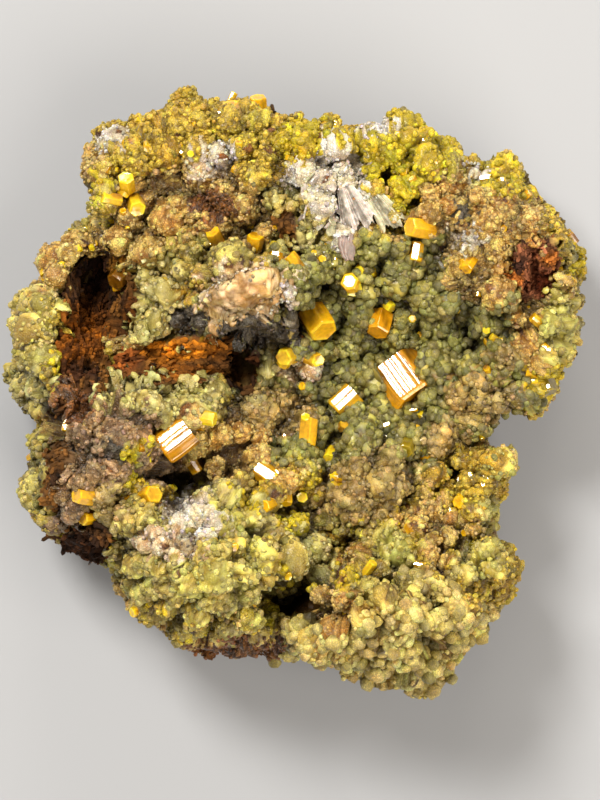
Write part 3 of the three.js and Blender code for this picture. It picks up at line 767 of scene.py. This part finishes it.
def sugar(name, grain_mm, grain_depth, **values):
    """Tiny crystals grown side by side, after the piece's tint and as strong as its fourth value:
    rounded cells as bump, each a little lighter or darker, with painted shade as dark lines
    between them."""
    material, tree, shader = new_material(name, **values)
    place = add_node(tree, "ShaderNodeTexCoord")
    tint = add_node(tree, "ShaderNodeAttribute", {"attribute_name": "tint"})
    stir = add_node(tree, "ShaderNodeTexNoise", inputs={"Scale": 1 / (0.5 * MM), "Detail": 2.0},
                    links={"Vector": (place, "Object")})
    moved = add_node(tree, "ShaderNodeVectorMath", {"operation": "MULTIPLY_ADD"},
                     {1: (0.3 * MM,) * 3}, {0: (stir, "Color"), 2: (place, "Object")})
    cells, edges = (add_node(tree, "ShaderNodeTexVoronoi", {"feature": feature},
                             {"Scale": 1 / (grain_mm * MM)}, {"Vector": (moved, "Vector")})
                    for feature in ("F1", "DISTANCE_TO_EDGE"))
    # Painted shade: darker along the edges between the cells
    gap = add_node(tree, "ShaderNodeMapRange",
                   inputs={"From Max": 0.16, "To Min": 0.5, "To Max": 1.0},
                   links={"Value": (edges, "Distance")})
    each = add_node(tree, "ShaderNodeSeparateColor", links={"Color": (cells, "Color")})
    vary = add_node(tree, "ShaderNodeMapRange", inputs={"To Min": 0.72, "To Max": 1.28},
                    links={"Value": (each, "Red")})
    both = add_node(tree, "ShaderNodeMath", {"operation": "MULTIPLY"},
                    links={0: (gap, "Result"), 1: (vary, "Result")})
    share = add_node(tree, "ShaderNodeMix", inputs={"A": 1.0},
                     links={"Factor": (tint, "Alpha"), "B": (both, "Value")})
    shade = add_node(tree, "ShaderNodeVectorMath", {"operation": "SCALE"},
                     links={"Vector": (tint, "Color"), "Scale": (share, "Result")})
    round_off = add_node(tree, "ShaderNodeMapRange", {"interpolation_type": "SMOOTHERSTEP"},
                         {"From Max": 0.35}, {"Value": (edges, "Distance")})
    height = add_node(tree, "ShaderNodeMath", {"operation": "MULTIPLY"},
                      links={0: (round_off, "Result"), 1: (tint, "Alpha")})
    bump = add_node(tree, "ShaderNodeBump", inputs={"Strength": 1.0, "Distance": grain_depth * MM},
                    links={"Height": (height, "Value")})
    connect(tree, shader, {"Base Color": (shade, "Vector"), "Normal": (bump, "Normal")})
    return material


# Limonite gossan: iron ore rusted in the open and then torn. Earthy and without gloss, blotched
# from umber to ochre, so that it is the dull dark ground that the bright crust stands out from.
rock_material = mineral("limonite_gossan", 0.35, 0.30, 0.9, 1.5, 0.6,
                        Roughness=0.85, Specular_IOR_Level=0.25)
# Pyromorphite crust: lead phosphate grown from water as a drusy skin of crystals too small to tell
# apart. Greasy and slightly glowing, with a sparkle where the tiny faces catch the light.
SUGAR = {"Roughness": 0.36, "IOR": 1.6, "Subsurface_Weight": 0.5,
         "Subsurface_Radius": (0.9, 0.8, 0.45), "Subsurface_Scale": 0.2 * MM}
skin_material = sugar("pyromorphite_sugar", 0.25, 0.12, **SUGAR)
# The same mineral on the balls and barrels, finer, so that each of them still reads as one.
grain_material = sugar("pyromorphite_grains", 0.17, 0.05, **SUGAR)

# The rock, the skin and the grains

plain, base_quads, foot_ring = rock_surface(solid_tree("matrix", "pyromorphite_crust"))
lumps = lump_places(plain)
rock_kinds = np.where(plain[:, 2] < CRUST_FOOT, BARE, finish_kinds(plain))
relief = lump_relief(plain, rock_kinds, lumps)
# Under the crust the rock stays a little lower than it, and towards the cut it keeps its form
move = (relief - 0.35 * (rock_kinds != BARE)) * smoothstep(0.0, 3.0, plain[:, 2])
base = plain + point_normals(plain, base_quads) * move[:, None]
base[:, 2] = np.maximum(base[:, 2], 0)
foot_fan = np.stack([np.full(AROUND, len(base)), np.roll(foot_ring, -1), foot_ring], -1)
rock_points = np.concatenate([base, [[0, 0, 0]]])
rock = make_piece("gossan_rock", rock_points, [base_quads, foot_fan],
                  ground_colours(rock_points), rock_material)
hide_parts("matrix")

face_grid = plain[:(FACE_CELLS + 1) ** 2].reshape(FACE_CELLS + 1, FACE_CELLS + 1, 3)
skin, under_grid, skin_tint = skin_surface(face_grid, lumps)
step = SKIN_CELLS // TILES
small_step = step // UNDER_CELLS
for i, j in product(range(TILES), repeat=2):
    tile = tuple(slice(k * step, (k + 1) * step + 1) for k in (i, j))
    under = under_grid[tuple(slice(k * small_step, (k + 1) * small_step + 1) for k in (i, j))]
    points, faces = closed_tile(skin[tile], under)
    dark = np.tile([*CREVICE_SHADE, 0], (under.size // 3, 1))
    piece = make_piece(f"crust_skin_{TILES * i + j + 1}", points, faces,
                       np.concatenate([skin_tint[tile].reshape(-1, 4), dark]),
                       skin_material, smooth=[True, False, False])
    if i == j == 0:
        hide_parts("pyromorphite_crust")

skin_quads = grid_quads(np.arange(skin.size // 3).reshape(skin.shape[:2]))
on_skin = scatter(skin.reshape(-1, 3), skin_quads, SKIN_THROWS)
on_sides = scatter(base, base_quads[FACE_CELLS ** 2:], SIDE_THROWS, SIDE_COVER)
spots, ways, sizes, kinds = (np.concatenate(pair) for pair in zip(on_skin, on_sides))
raised = KDTree(len(base))
for i, point in enumerate(base):
    raised.insert(point, i)
raised.balance()
nearest = np.array([raised.find(spot)[1] for spot in spots])
painted_light_share = smoothstep(-0.9, 0.9, relief[nearest])  # painted shade: 0 for a grain deep between lumps, 1 on top of one
barrel = rng.random(len(spots)) < BARRELS[kinds]


def grow(label, chosen, profile, around, stretch, tilt, smooth):
    """Makes the chosen grains in pieces light enough, from the lower edge of the view upwards.
    Their proportions stray by the stretch and their axes by the tilt. Each has a lightness and
    warmth of its own, painted shade at its foot and where it stands deep, and paler painted
    rims that stand for light shining through its thin edges."""
    index = np.flatnonzero(chosen)
    index = index[np.argsort(spots[index, 1])]
    triangles = len(index) * 2 * around * (len(profile) - 2)
    parts = np.array_split(index, math.ceil(triangles / PIECE_TRIANGLES))
    for number, part in enumerate(parts):
        kind, radius = kinds[part], sizes[part]
        axis = unit(ways[part] + rng.normal(scale=tilt, size=(len(part), 3)))
        centre = spots[part] - axis * (0.1 * radius)[:, None]
        points, faces, step = turned_profile(centre, axis, radius, profile, around, stretch)
        size = len(points) // len(part)
        points = roughened(points, np.repeat(centre, size, axis=0),
                           np.repeat(0.2 * radius, size), 0.4)
        vary = np.exp(rng.normal(scale=0.24, size=(len(part), 1)))
        # Painted shade: grains deep between the lumps are darkened
        vary = vary * (0.34 + 0.6 * painted_light_share[part][:, None])
        vary = vary * (1 + rng.normal(scale=[0.05, 0.03, 0.12], size=(len(part), 3)))
        deep, pale = (np.repeat((GAP_COLOURS_AND_SHADE[kind] * (1 - top) + TOPS[kind] * top) * vary, size, axis=0)
                      for top in (0.35, 0.9))
        # Painted light: paler towards the rims, as if light shone through the thin edges
        painted_rim_light = np.array(profile)[step, 2:]
        # Painted shade at the foot of each grain, where it meets the crust
        foot = np.where(step >= len(profile) - 2, 0.3, 1.0)[:, None]
        tint = np.clip((deep * (1 - painted_rim_light) + pale * painted_rim_light) * foot, 0.002, 1)
        piece = make_piece(f"{label}_{number + 1}", points, faces, tint, grain_material, smooth)


grow("green_balls", ~barrel & (sizes > LARGE_BALL), BALL, 9, 0.16, 0.15, True)
grow("small_grains", ~barrel & (sizes <= LARGE_BALL), SMALL_BALL, 6, 0.25, 0.35, True)
grow("barrel_grains", barrel, BARREL, 6, 0.2, 0.45, False)

# Crystals

# Those with a face that mirrors the key light to the camera
MIRRORS = {
    "crystal_striated_middle", "crystal_striated_left", "crystal_mirror_face",
    "crystal_upper_row_left", "crystal_upper_row_bright", "crystal_right_of_fan",
    "crystal_olive_table", "crystal_ledge_edge",
}
# Those grown flat: how much wider they are across the face that glints
TABULAR = {"crystal_striated_middle": 1.3, "crystal_striated_left": 1.2}
CAMERA_PLACE = np.array([*on_face(VIEW_WIDTH / 2, VIEW_HEIGHT / 2), FACE_LEVEL + CAMERA_DISTANCE])
BLUNT = 40  # power that the six sides are blended with: the higher, the sharper the edges
SIDE_TURNS = math.pi / 6 + np.arange(6) * math.pi / 3  # where the six sides face round the axis
LARGE_CRYSTAL = 1.3  # mm, radius from which a crystal is drawn with more steps round it


def crystal_surface(radius, length, around, grooves):
    """A six-sided crystal, axis along Z. Round the axis it reaches as far as the nearest of six
    unequal sides, blended with a high power so that the edges are slightly blunt; along the axis
    it swells like a barrel, is bevelled at its end and has a sunken end face. Grooves run along
    the axis, as a share of the radius. The last result is 1 on the edges and round the bevel,
    where the tint gets a painted highlight."""
    a = np.linspace(0, 2 * math.pi, around, endpoint=False)
    reach = radius * math.cos(math.pi / 6) * rng.uniform(0.86, 1.04, 6)
    facing = np.maximum(np.cos(a[:, None] - SIDE_TURNS), 0) / reach
    out = (facing ** BLUNT).sum(axis=1) ** (-1 / BLUNT)
    stripes = np.column_stack([a * 2.2 * radius, np.full(around, radius), np.full(around, length)])
    ridge = noise(stripes, 0.34) + 0.6 * noise(stripes, 0.16)
    half = length / 2
    bevel = min(0.1 * radius, 0.2 * half)
    # Steps from foot to top: height, width, depth of the sunken face, strength of the grooves
    up = np.array([-1, -1, -0.5, 0, 0.45, 0.8, 1 - bevel / half, 1, 1, 1, 1]) * half
    wide = np.array([0, 0.97, 0.985, 1, 0.99, 0.97, 0.95, 0.95 - bevel / radius, 0.62, 0.3, 0])
    sunk = np.array([0, 0, 0, 0, 0, 0, 0, 0, 0.05, 0.07, 0.07]) * radius
    strength = np.array([0, 1, 1, 1, 1, 1, 1, 0.6, 0, 0, 0]) * grooves * radius
    r = out * wide[1:-1, None] + ridge * strength[1:-1, None]
    level = (up - sunk)[:, None] * np.ones(around)
    rings = np.stack([r * np.cos(a), r * np.sin(a), level[1:-1]], -1).reshape(-1, 3)
    points = np.concatenate([[[0, 0, level[0, 0]]], rings, [[0, 0, level[-1, 0]]]])
    quads, ends = (np.roll(f[:, ::-1], 1, axis=1) for f in tube_faces(len(up) - 2, around))
    # Painted highlight: 1 on the side edges and round the end's bevel, where the tint is lightened
    corner = smoothstep(0.97, 1.0, out / out.max())
    painted_rim_light = np.array([0, 0, 0, 0, 0, 0.5, 1, 0.1, 0])
    edge = np.concatenate([[0], np.maximum(corner, painted_rim_light[:, None]).ravel(), [0]])
    return points, quads, ends, edge


def axes_of(node):
    """Middle, axis, first side direction, radius and length in mm of a six-sided solid: its end
    face is the widest set of six or more triangles that face one way."""
    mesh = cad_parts[node].data
    places = np.array([v.co for v in mesh.vertices]) / MM
    tris = np.array([p.vertices for p in mesh.polygons])
    a, b, c = (places[tris[:, i]] for i in range(3))
    cross = np.cross(b - a, c - a)
    normal, area = unit(cross), np.linalg.norm(cross, axis=1)
    alike = normal @ normal.T > 0.9995
    ends = np.where(alike.sum(axis=1) >= 6, alike @ area, 0)
    pick = ends.argmax()
    axis = -normal[pick]
    ring = places[np.unique(tris[alike[pick]])]
    foot = ring.mean(axis=0)
    away = np.linalg.norm(ring - foot, axis=1)
    corner = ring[away.argmax()] - foot
    length = ((places - foot) @ axis).max()
    return foot + axis * length / 2, axis, unit(corner - axis * (corner @ axis)), away.max(), length


def set_in_place(points, middle, axis, side):
    """Turns points so that Z lies along the axis and X along the side, and moves them there."""
    x, y, z = points.T[..., None]
    return middle + x * side + y * np.cross(axis, side) + z * axis


def side_way(axis, side, turn):
    """The way that a side faces at a turn round the axis from the first corner."""
    return math.cos(turn) * side + math.sin(turn) * np.cross(axis, side)


def glint(middle):
    """The way a face has to point to send the key light to the camera."""
    return unit(unit(CAMERA_PLACE - middle) + unit(np.array(KEY_PLACE) - middle))


def turned_to(axis, side, normal, wanted):
    """The axis and side after the smallest turn that brings a face's normal to the wanted way."""
    turn = Vector(normal).rotation_difference(Vector(wanted))
    return np.array(turn @ Vector(axis)), np.array(turn @ Vector(side))


def crystal_tint(points, middle, axis, look, edge):
    """Deep amber in the foot, below and in cloudy patches, brighter yellow towards the top, and
    brightest on the edges as a painted highlight."""
    deep, bright = HONEY[look]
    along = (points - middle) @ axis * 0.4 + (points - middle)[:, 2] * 0.8
    clouds = 1.5 * noise(points, 0.8) + 0.9 * noise(points, 0.3)
    share = smoothstep(-1.6, 1.5, along + clouds)[:, None]
    # Painted highlight: the tint is made up to 30% lighter on the edges
    return np.clip((deep * (1 - share) + bright * share) * (1 + 0.3 * edge[:, None]), 0, 1)


# Pyromorphite crystals: honey-yellow hexagonal prisms with a resinous shine. Light goes in a
# little way and makes them glow warm, and their smooth flat faces mirror a lamp.
crystal_material = mineral("pyromorphite_crystal", 0.12, 0.012, 0.4, 1.15, 0.85,
                           Roughness=0.07, IOR=2.05, Transmission_Weight=0.12,
                           Subsurface_Weight=0.35, Subsurface_Radius=(1.0, 0.75, 0.1),
                           Subsurface_Scale=0.6 * MM)
# Deep and bright colour of each look, and the look that goes with a word in a crystal's name
HONEY = {name: (linear(deep), linear(bright)) for name, deep, bright in (
    ("amber", "583202", "dc9a10"), ("gold", "804e02", "f4bc18"), ("yellow", "a87004", "fcd428"),
    ("olive", "4e4206", "968212"), ("brown", "2e1a02", "7c5210"))}
CRYSTAL_LOOKS = {"striated": "amber", "yellow": "yellow", "upper_left": "yellow",
                 "olive": "olive", "cavity": "brown", "golden": "amber"}

for name in sorted(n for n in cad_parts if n.startswith("crystal_")):
    middle, axis, side, radius, length = axes_of(name)
    if name in MIRRORS:
        wanted = glint(middle)
        ways_out = [axis] + [unit(side_way(axis, side, turn)) for turn in SIDE_TURNS]
        best = max(ways_out, key=lambda way: way @ wanted)
        axis, side = turned_to(axis, side, best, wanted)
    around = 150 if radius > LARGE_CRYSTAL else 60
    grooves = 0.016 if "striated" in name else 0.008
    points, quads, tris, edge = crystal_surface(radius, length, around, grooves)
    placed = set_in_place(points, middle, axis, side)
    if name in TABULAR:
        across = np.cross(axis, wanted)
        placed += ((placed - middle) @ across)[:, None] * across * (TABULAR[name] - 1)
    look = next((CRYSTAL_LOOKS[word] for word in CRYSTAL_LOOKS if word in name), "gold")
    tint = crystal_tint(placed, middle, axis, look, edge)
    piece = make_piece(name + "_cut", placed, [quads, tris], tint, crystal_material, smooth=False)
    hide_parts(name)

# Small crystals: middle in pixels of the view and radius in mm
SMALL_CRYSTALS = [
    (426, 413, 0.6), (284, 569, 0.5), (142, 607, 0.6), (29, 459, 0.5), (235, 540, 0.5),
    (463, 496, 0.6), (217, 240, 0.6), (257, 244, 0.6), (258, 102, 0.7), (235, 109, 0.7),
    (117, 280, 0.6), (424, 134, 0.7), (489, 340, 0.6), (406, 445, 0.7), (427, 462, 0.6),
    (365, 566, 0.6), (190, 458, 0.8), (205, 418, 0.9), (272, 262, 0.9), (300, 268, 0.9),
    (352, 286, 1.0), (372, 272, 0.8), (385, 302, 0.7), (360, 270, 0.6), (285, 490, 0.8),
    (303, 494, 0.7), (270, 500, 0.8), (337, 480, 0.8), (335, 496, 0.6), (128, 498, 0.7),
    (96, 492, 0.8), (95, 512, 0.7), (410, 248, 0.7), (418, 231, 0.8), (466, 266, 0.7),
    (408, 294, 0.5), (130, 186, 0.8), (135, 205, 0.8), (113, 218, 0.6), (538, 323, 0.6),
    (530, 372, 0.8), (541, 348, 0.5), (505, 390, 0.5), (318, 262, 0.5), (337, 272, 0.6),
    (345, 425, 0.6), (306, 420, 0.6), (331, 456, 0.7), (305, 356, 0.7), (290, 356, 0.8),
    (205, 560, 0.4), (420, 560, 0.5), (450, 590, 0.5), (360, 640, 0.5), (250, 600, 0.4),
    (150, 150, 0.5), (190, 130, 0.5), (240, 150, 0.5), (445, 150, 0.6), (520, 200, 0.5),
]
STRAY_CRYSTALS = 150  # how many more stand at random places on the lively finishes
rock_tree = BVHTree.FromPolygons([tuple(p * MM) for p in base], base_quads.tolist())


def ground_at(px, py):
    """Place in mm on the finished rock under a pixel of the view, and the way out of it."""
    x, y = on_face(px, py) * MM
    hit, way, _, _ = rock_tree.ray_cast(Vector((x, y, ABOVE)), Vector((0, 0, -1)))
    if hit is None:
        hit, way, _, _ = rock_tree.find_nearest(Vector((x, y, WIDEST_LEVEL * MM)))
    return np.array(hit) / MM, np.array(way)


def small_crystals(places):
    """Points, faces and tints of short crystals that stand in the crust at the given places, some
    of them with a side turned to glint."""
    shapes = []
    for px, py, radius in places:
        spot, way = ground_at(px, py)
        axis = unit(way + rng.normal(scale=0.6, size=3))
        side = unit(np.cross(axis, rng.normal(size=3)))
        if rng.random() < (0.35 if radius < 0.45 else 0.08):
            face = side_way(axis, side, SIDE_TURNS[0])
            axis, side = turned_to(axis, side, face, glint(spot))
        length = radius * rng.uniform(2.2, 3.2)
        points, quads, tris, edge = crystal_surface(radius, length, 12, 0.0)
        middle = spot + way * (0.35 * radius + 0.15)
        placed = set_in_place(points, middle, axis, side)
        look = ("gold", "yellow")[rng.integers(0, 2)]
        shapes.append((placed, quads, tris, crystal_tint(placed, middle, axis, look, edge)))
    return joined(shapes)


lively = np.isin(finish_kinds(base), [LEMON, TAN, GREEN, LIME])
high = np.flatnonzero((base[:, 2] > WIDEST_LEVEL + 2) & lively)
strays = [(*in_view(x, y), rng.uniform(0.28, 0.5))
          for x, y, _ in base[rng.choice(high, STRAY_CRYSTALS)]]
points, faces, tints = small_crystals(SMALL_CRYSTALS + strays)
piece = make_piece("small_yellow_crystals", points, faces, tints, crystal_material, smooth=False)

# White blades and torn rock

# White bladed mineral, split along the blades as it grew: silky and pale, with grey streaks.
blade_material = mineral("white_blades", 0.25, 0.05, 0.4, 1.2, 0.7, Roughness=0.3, IOR=1.8,
                         Subsurface_Weight=0.2, Subsurface_Scale=0.3 * MM)
BLADE_STEPS, BLADE_AROUND = 9, 14  # steps along a blade and round it
SHEET_STEPS, SHEET_AROUND = 60, 150  # steps out along a sheet and across it
SHEET_THICKNESS = 1.2  # mm


def blade_surface(length, width, thick, steps, around):
    """A blade along X. Across, it is a flattened ring, thick in Y and wide in Z; the width grows
    quickly from the root and the end is cut off ragged. Fine ridges run along it."""
    u = np.linspace(0, 1, steps)
    a = np.linspace(0, 2 * math.pi, around, endpoint=False)
    wide = width / 2 * (0.45 + 0.55 * smoothstep(0, 0.35, u)) * (1 - 0.35 * smoothstep(0.8, 1, u))
    c, sn = np.cos(a), np.sin(a)
    flat = np.sign(sn) * np.abs(sn) ** 0.4
    ridges = 1 + 0.35 * rng.uniform(-1, 1, around)
    x = length * (u[:, None] + 0.05 * rng.uniform(-1, 1, around) * smoothstep(0.7, 1, u)[:, None])
    y = thick / 2 * flat * ridges * np.ones((steps, 1))
    z = wide[:, None] * c * (1 + 0.08 * rng.uniform(-1, 1, (steps, 1)))
    body = np.stack([x * np.ones_like(y), y, z], -1).reshape(-1, 3)
    points = np.concatenate([[[0, 0, 0]], body, [[length, 0, 0]]])
    return points, *tube_faces(steps, around)


def blades(rows):
    """Points, faces and tints of blades: root in pixels, turn, lean and dip in degrees, length,
    width and thickness in mm, height over the rock and colour."""
    shapes = []
    for px, py, *angles, length, width, thick, lift, colour in rows:
        shape, quads, tris = blade_surface(length, width, thick, BLADE_STEPS, BLADE_AROUND)
        spot, _ = ground_at(px, py)
        heading, roll, slope = np.radians(angles)
        forward = np.array([math.cos(heading), math.sin(heading), 0])
        along = forward * math.cos(slope) - np.array([0, 0, math.sin(slope)])
        level = np.array([-math.sin(heading), math.cos(heading), 0])
        across = level * math.cos(roll) + np.cross(along, level) * math.sin(roll)
        x, y, z = shape.T[..., None]
        placed = spot + [0, 0, lift] + x * along + y * across + z * np.cross(along, across)
        shade = 0.85 + 0.35 * rng.random((len(shape), 1))
        shapes.append((placed, quads, tris, linear(colour) * shade))
    return joined(shapes)


def fan_sheet(root, level, first, last, near, reach, steps, around):
    """A fan grown as one sheet. At angle t, from first to last in degrees, and distance out from
    near to reach in mm, the top stands at level plus a ridge for t, broken by a little noise along
    it, and falls by the distance squared; the outer edge is cut ragged, and the underside lies
    lower by the thickness. Gives points, faces and the ridge of each point."""
    t, u = np.linspace(0, 1, around), np.linspace(0, 1, steps)
    stripes = np.column_stack([t * abs(last - first) * 0.35 + root[0], np.full(around, level),
                               np.zeros(around)])
    ridge = noise(stripes, 1.0) + 0.7 * noise(stripes + 9, 0.45)
    ragged = 1 - 0.16 * np.abs(noise(stripes, 2.4)) - 0.14 * np.abs(noise(stripes + 3, 0.8))
    angle = np.radians(first + (last - first) * t)
    out = near + (reach * ragged - near) * u[:, None]
    x, y = root[0] + out * np.cos(angle), root[1] + out * np.sin(angle)
    flat = np.column_stack([x.ravel(), y.ravel(), np.zeros(x.size)])
    breaks = (0.22 * noise(flat, 0.7) + 0.12 * noise(flat, 0.3)).reshape(x.shape)
    top = level + (0.26 * ridge + breaks) * smoothstep(0, 0.2, u)[:, None] - 0.022 * out ** 2
    top = top + 0.7 * np.sin(math.pi * t) - 0.8 * (1 - smoothstep(0, 0.15, u))[:, None]
    upper = np.stack([x, y, top], -1)
    lower = upper - [0, 0, SHEET_THICKNESS]
    points = np.concatenate([upper.reshape(-1, 3), lower.reshape(-1, 3)])
    index = np.arange(steps * around).reshape(steps, around)
    quads = grid_quads(index)
    painted_rim_light = np.concatenate([index[:-1, 0], index[-1, :-1], index[:0:-1, -1], index[0, :0:-1]])
    after = np.roll(painted_rim_light, -1)
    wall = np.stack([after, after + index.size, painted_rim_light + index.size, painted_rim_light], -1)
    return points, [quads[:, ::-1], quads + index.size, wall], np.tile(ridge, 2 * steps)


BLADE_COLOURS = ["bcb2a6", "a2988c", "b4b08c", "dcd2c6", "80766c"]
BLADE_LEAST = [304, 166, -150, 0, -15, 0.8, 0.5, 0.15, 0.1]
BLADE_MOST = [362, 232, -30, 80, 15, 1.6, 1.1, 0.4, 0.5]
rows = [(*rng.uniform(BLADE_LEAST, BLADE_MOST), BLADE_COLOURS[rng.integers(0, 5)])
        for _ in range(60)]
# The mauve tongue below the fan
rows += [(340 + 3 * i, 236 + 4 * rng.random(), -72 - 6 * i, 60, 6, 2.4, 1.2, 0.6, 0.5, "a08c84")
         for i in range(4)]
points, faces, tints = blades(rows)
fan = make_piece("white_blades", points, faces, tints, blade_material, smooth=False)
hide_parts("white_bladed_fan")
# The sheets of the fan: pixel that the rays spread from, height over the rock in mm, first and
# last angle, nearest and furthest distance in mm, dark and pale colour
SHEETS = [
    (318, 172, 0.5, -62, -112, 1.6, 5.4, "6a6058", "bcb0a8"),
    (334, 168, 0.9, -48, -84, 2.4, 7.6, "80786e", "e6dcd2"),
    (346, 164, 1.3, -42, -64, 3.0, 9.0, "868068", "dcd8b8"),
]
for number, (px, py, lift, first, last, near, reach, dark, light) in enumerate(SHEETS):
    level = ground_at(px + 12, py + 25)[0][2] + lift
    points, faces, ridge = fan_sheet(on_face(px, py), level, first, last, near, reach,
                                     SHEET_STEPS, SHEET_AROUND)
    pale = smoothstep(-0.8, 0.8, ridge + 0.7 * noise(points, 0.5))[:, None]
    tint = linear(dark) * (1 - pale) + linear(light) * pale
    sheet = make_piece(f"striated_fan_{number + 1}", points, faces, tint, blade_material,
                       smooth=[True, True, False])

# Splinters of rock
SHARD = [(0, 1), (0.85, 0.75), (0.9, -0.7), (0, -1)]
BARE_SHARDS, FLANK_SHARDS = 3400, 2400  # shards on the bare places and round the foot
ALONG_BAND, UP_CAVITY = np.array([1.0, 0.1, 0.1]), np.array([0.15, 1.0, 0.5])  # which way they run
bare_points = np.flatnonzero((finish_kinds(base) == BARE) & (base[:, 2] > 5))
weight = 1 + 4 * (zone_reach(base[bare_points], 1.0, *RIGHT_PATCH) < 1)
flanks = (base[:, 2] > 1.4) & (base[:, 2] < 8.5) & (plain[:, 2] < WIDEST_LEVEL - 1)
picked = base[np.concatenate([
    rng.choice(bare_points, BARE_SHARDS, replace=False, p=weight / weight.sum()),
    rng.choice(np.flatnonzero(flanks), FLANK_SHARDS, replace=False),
])]
wave = edge_wave(picked)
free = (zone_reach(picked, wave, *FAN) >= 1.1) & (zone_reach(picked, wave, *NOSE) >= 1.1)
picked, wave = picked[free], wave[free]
in_band = zone_reach(picked, wave, *FIBRE_BAND)[:, None] < 1
in_cavity = zone_reach(picked, 1.0, *CAVITY)[:, None] < 1
run = np.select([in_band, in_cavity], [ALONG_BAND, UP_CAVITY], 0.0)
axis = unit(run + rng.normal(scale=0.35, size=picked.shape))
in_patch = zone_reach(picked, 1.0, *RIGHT_PATCH) < 1
coarse = np.where(in_patch, 0.7, np.where(picked[:, 2] < 9, 1.25, 1))
radius = rng.uniform(0.1, 0.34, len(picked)) * coarse
points, faces, _ = turned_profile(picked, axis, radius, SHARD, 5, 0.35, slender=2.4)
size = len(points) // len(picked)
tint = ground_colours(np.repeat(picked, size, axis=0))
tint *= np.repeat(rng.uniform(0.7, 2.2, len(picked)), size)[:, None]
shards = make_piece("torn_limonite", points, faces, np.clip(tint, 0.002, 0.8), rock_material,
                    smooth=False)

# Floor, lights and camera

FLOOR_REACH = 1.5  # m from the middle to each side
floor_mesh = bpy.data.meshes.new("floor")
corners = [(x * FLOOR_REACH, y * FLOOR_REACH, 0) for x, y in ((-1, -1), (1, -1), (1, 1), (-1, 1))]
floor_mesh.from_pydata(corners, [], [(0, 1, 2, 3)])
floor = bpy.data.objects.new("floor", floor_mesh)
bpy.context.scene.collection.objects.link(floor)
# Matt board, so pale and plain that nothing on it draws the eye from the specimen
floor_material, _, _ = new_material("pale_floor", Base_Color=(*linear("a8acb2"), 1), Roughness=0.9)
floor_mesh.materials.append(floor_material)


def softbox(name, size, power, place, colour, aim=(0, 0, 15)):
    """A square area light, its size and place in mm and its power in watts, that faces its aim."""
    light = bpy.data.lights.new(name, "AREA")
    light.color = linear(colour)
    light.shape, light.size, light.energy = "SQUARE", size * MM, power
    lamp = bpy.data.objects.new(name, light)
    bpy.context.scene.collection.objects.link(lamp)
    lamp.location = Vector(place) * MM
    toward = (Vector(aim) - Vector(place)).normalized()
    lamp.rotation_euler = toward.to_track_quat("-Z", "Y").to_euler()
    return lamp


# A small key for crisp glints, a broad weak fill and a back light that rims the upper edge
softbox("key_light", 150, 3.65, KEY_PLACE, "fff8ee")
softbox("fill_light", 600, 5.0, (380, -320, 540), "fff4e6")
softbox("back_light", 300, 2.0, (60, 560, 300), "fff4e6")
world = bpy.data.worlds.new("studio")
bpy.context.scene.world = world
world.use_nodes = True
background = world.node_tree.nodes["Background"]
background.inputs["Color"].default_value = (*linear("f0e6da"), 1)
background.inputs["Strength"].default_value = 0.3
bpy.context.scene.view_settings.view_transform = "Standard"

camera_data = bpy.data.cameras.new("camera")
camera = bpy.data.objects.new("camera", camera_data)
bpy.context.scene.collection.objects.link(camera)
camera.location = Vector(CAMERA_PLACE) * MM
camera.rotation_euler = (0, 0, 0)
camera_data.sensor_fit = "VERTICAL"
camera_data.sensor_height = 24
distance = CAMERA_DISTANCE + OUTLINE_DEPTH
camera_data.lens = camera_data.sensor_height * distance / (VIEW_HEIGHT * PIXEL)
camera_data.clip_start, camera_data.clip_end = 0.01, 10
bpy.context.scene.camera = camera
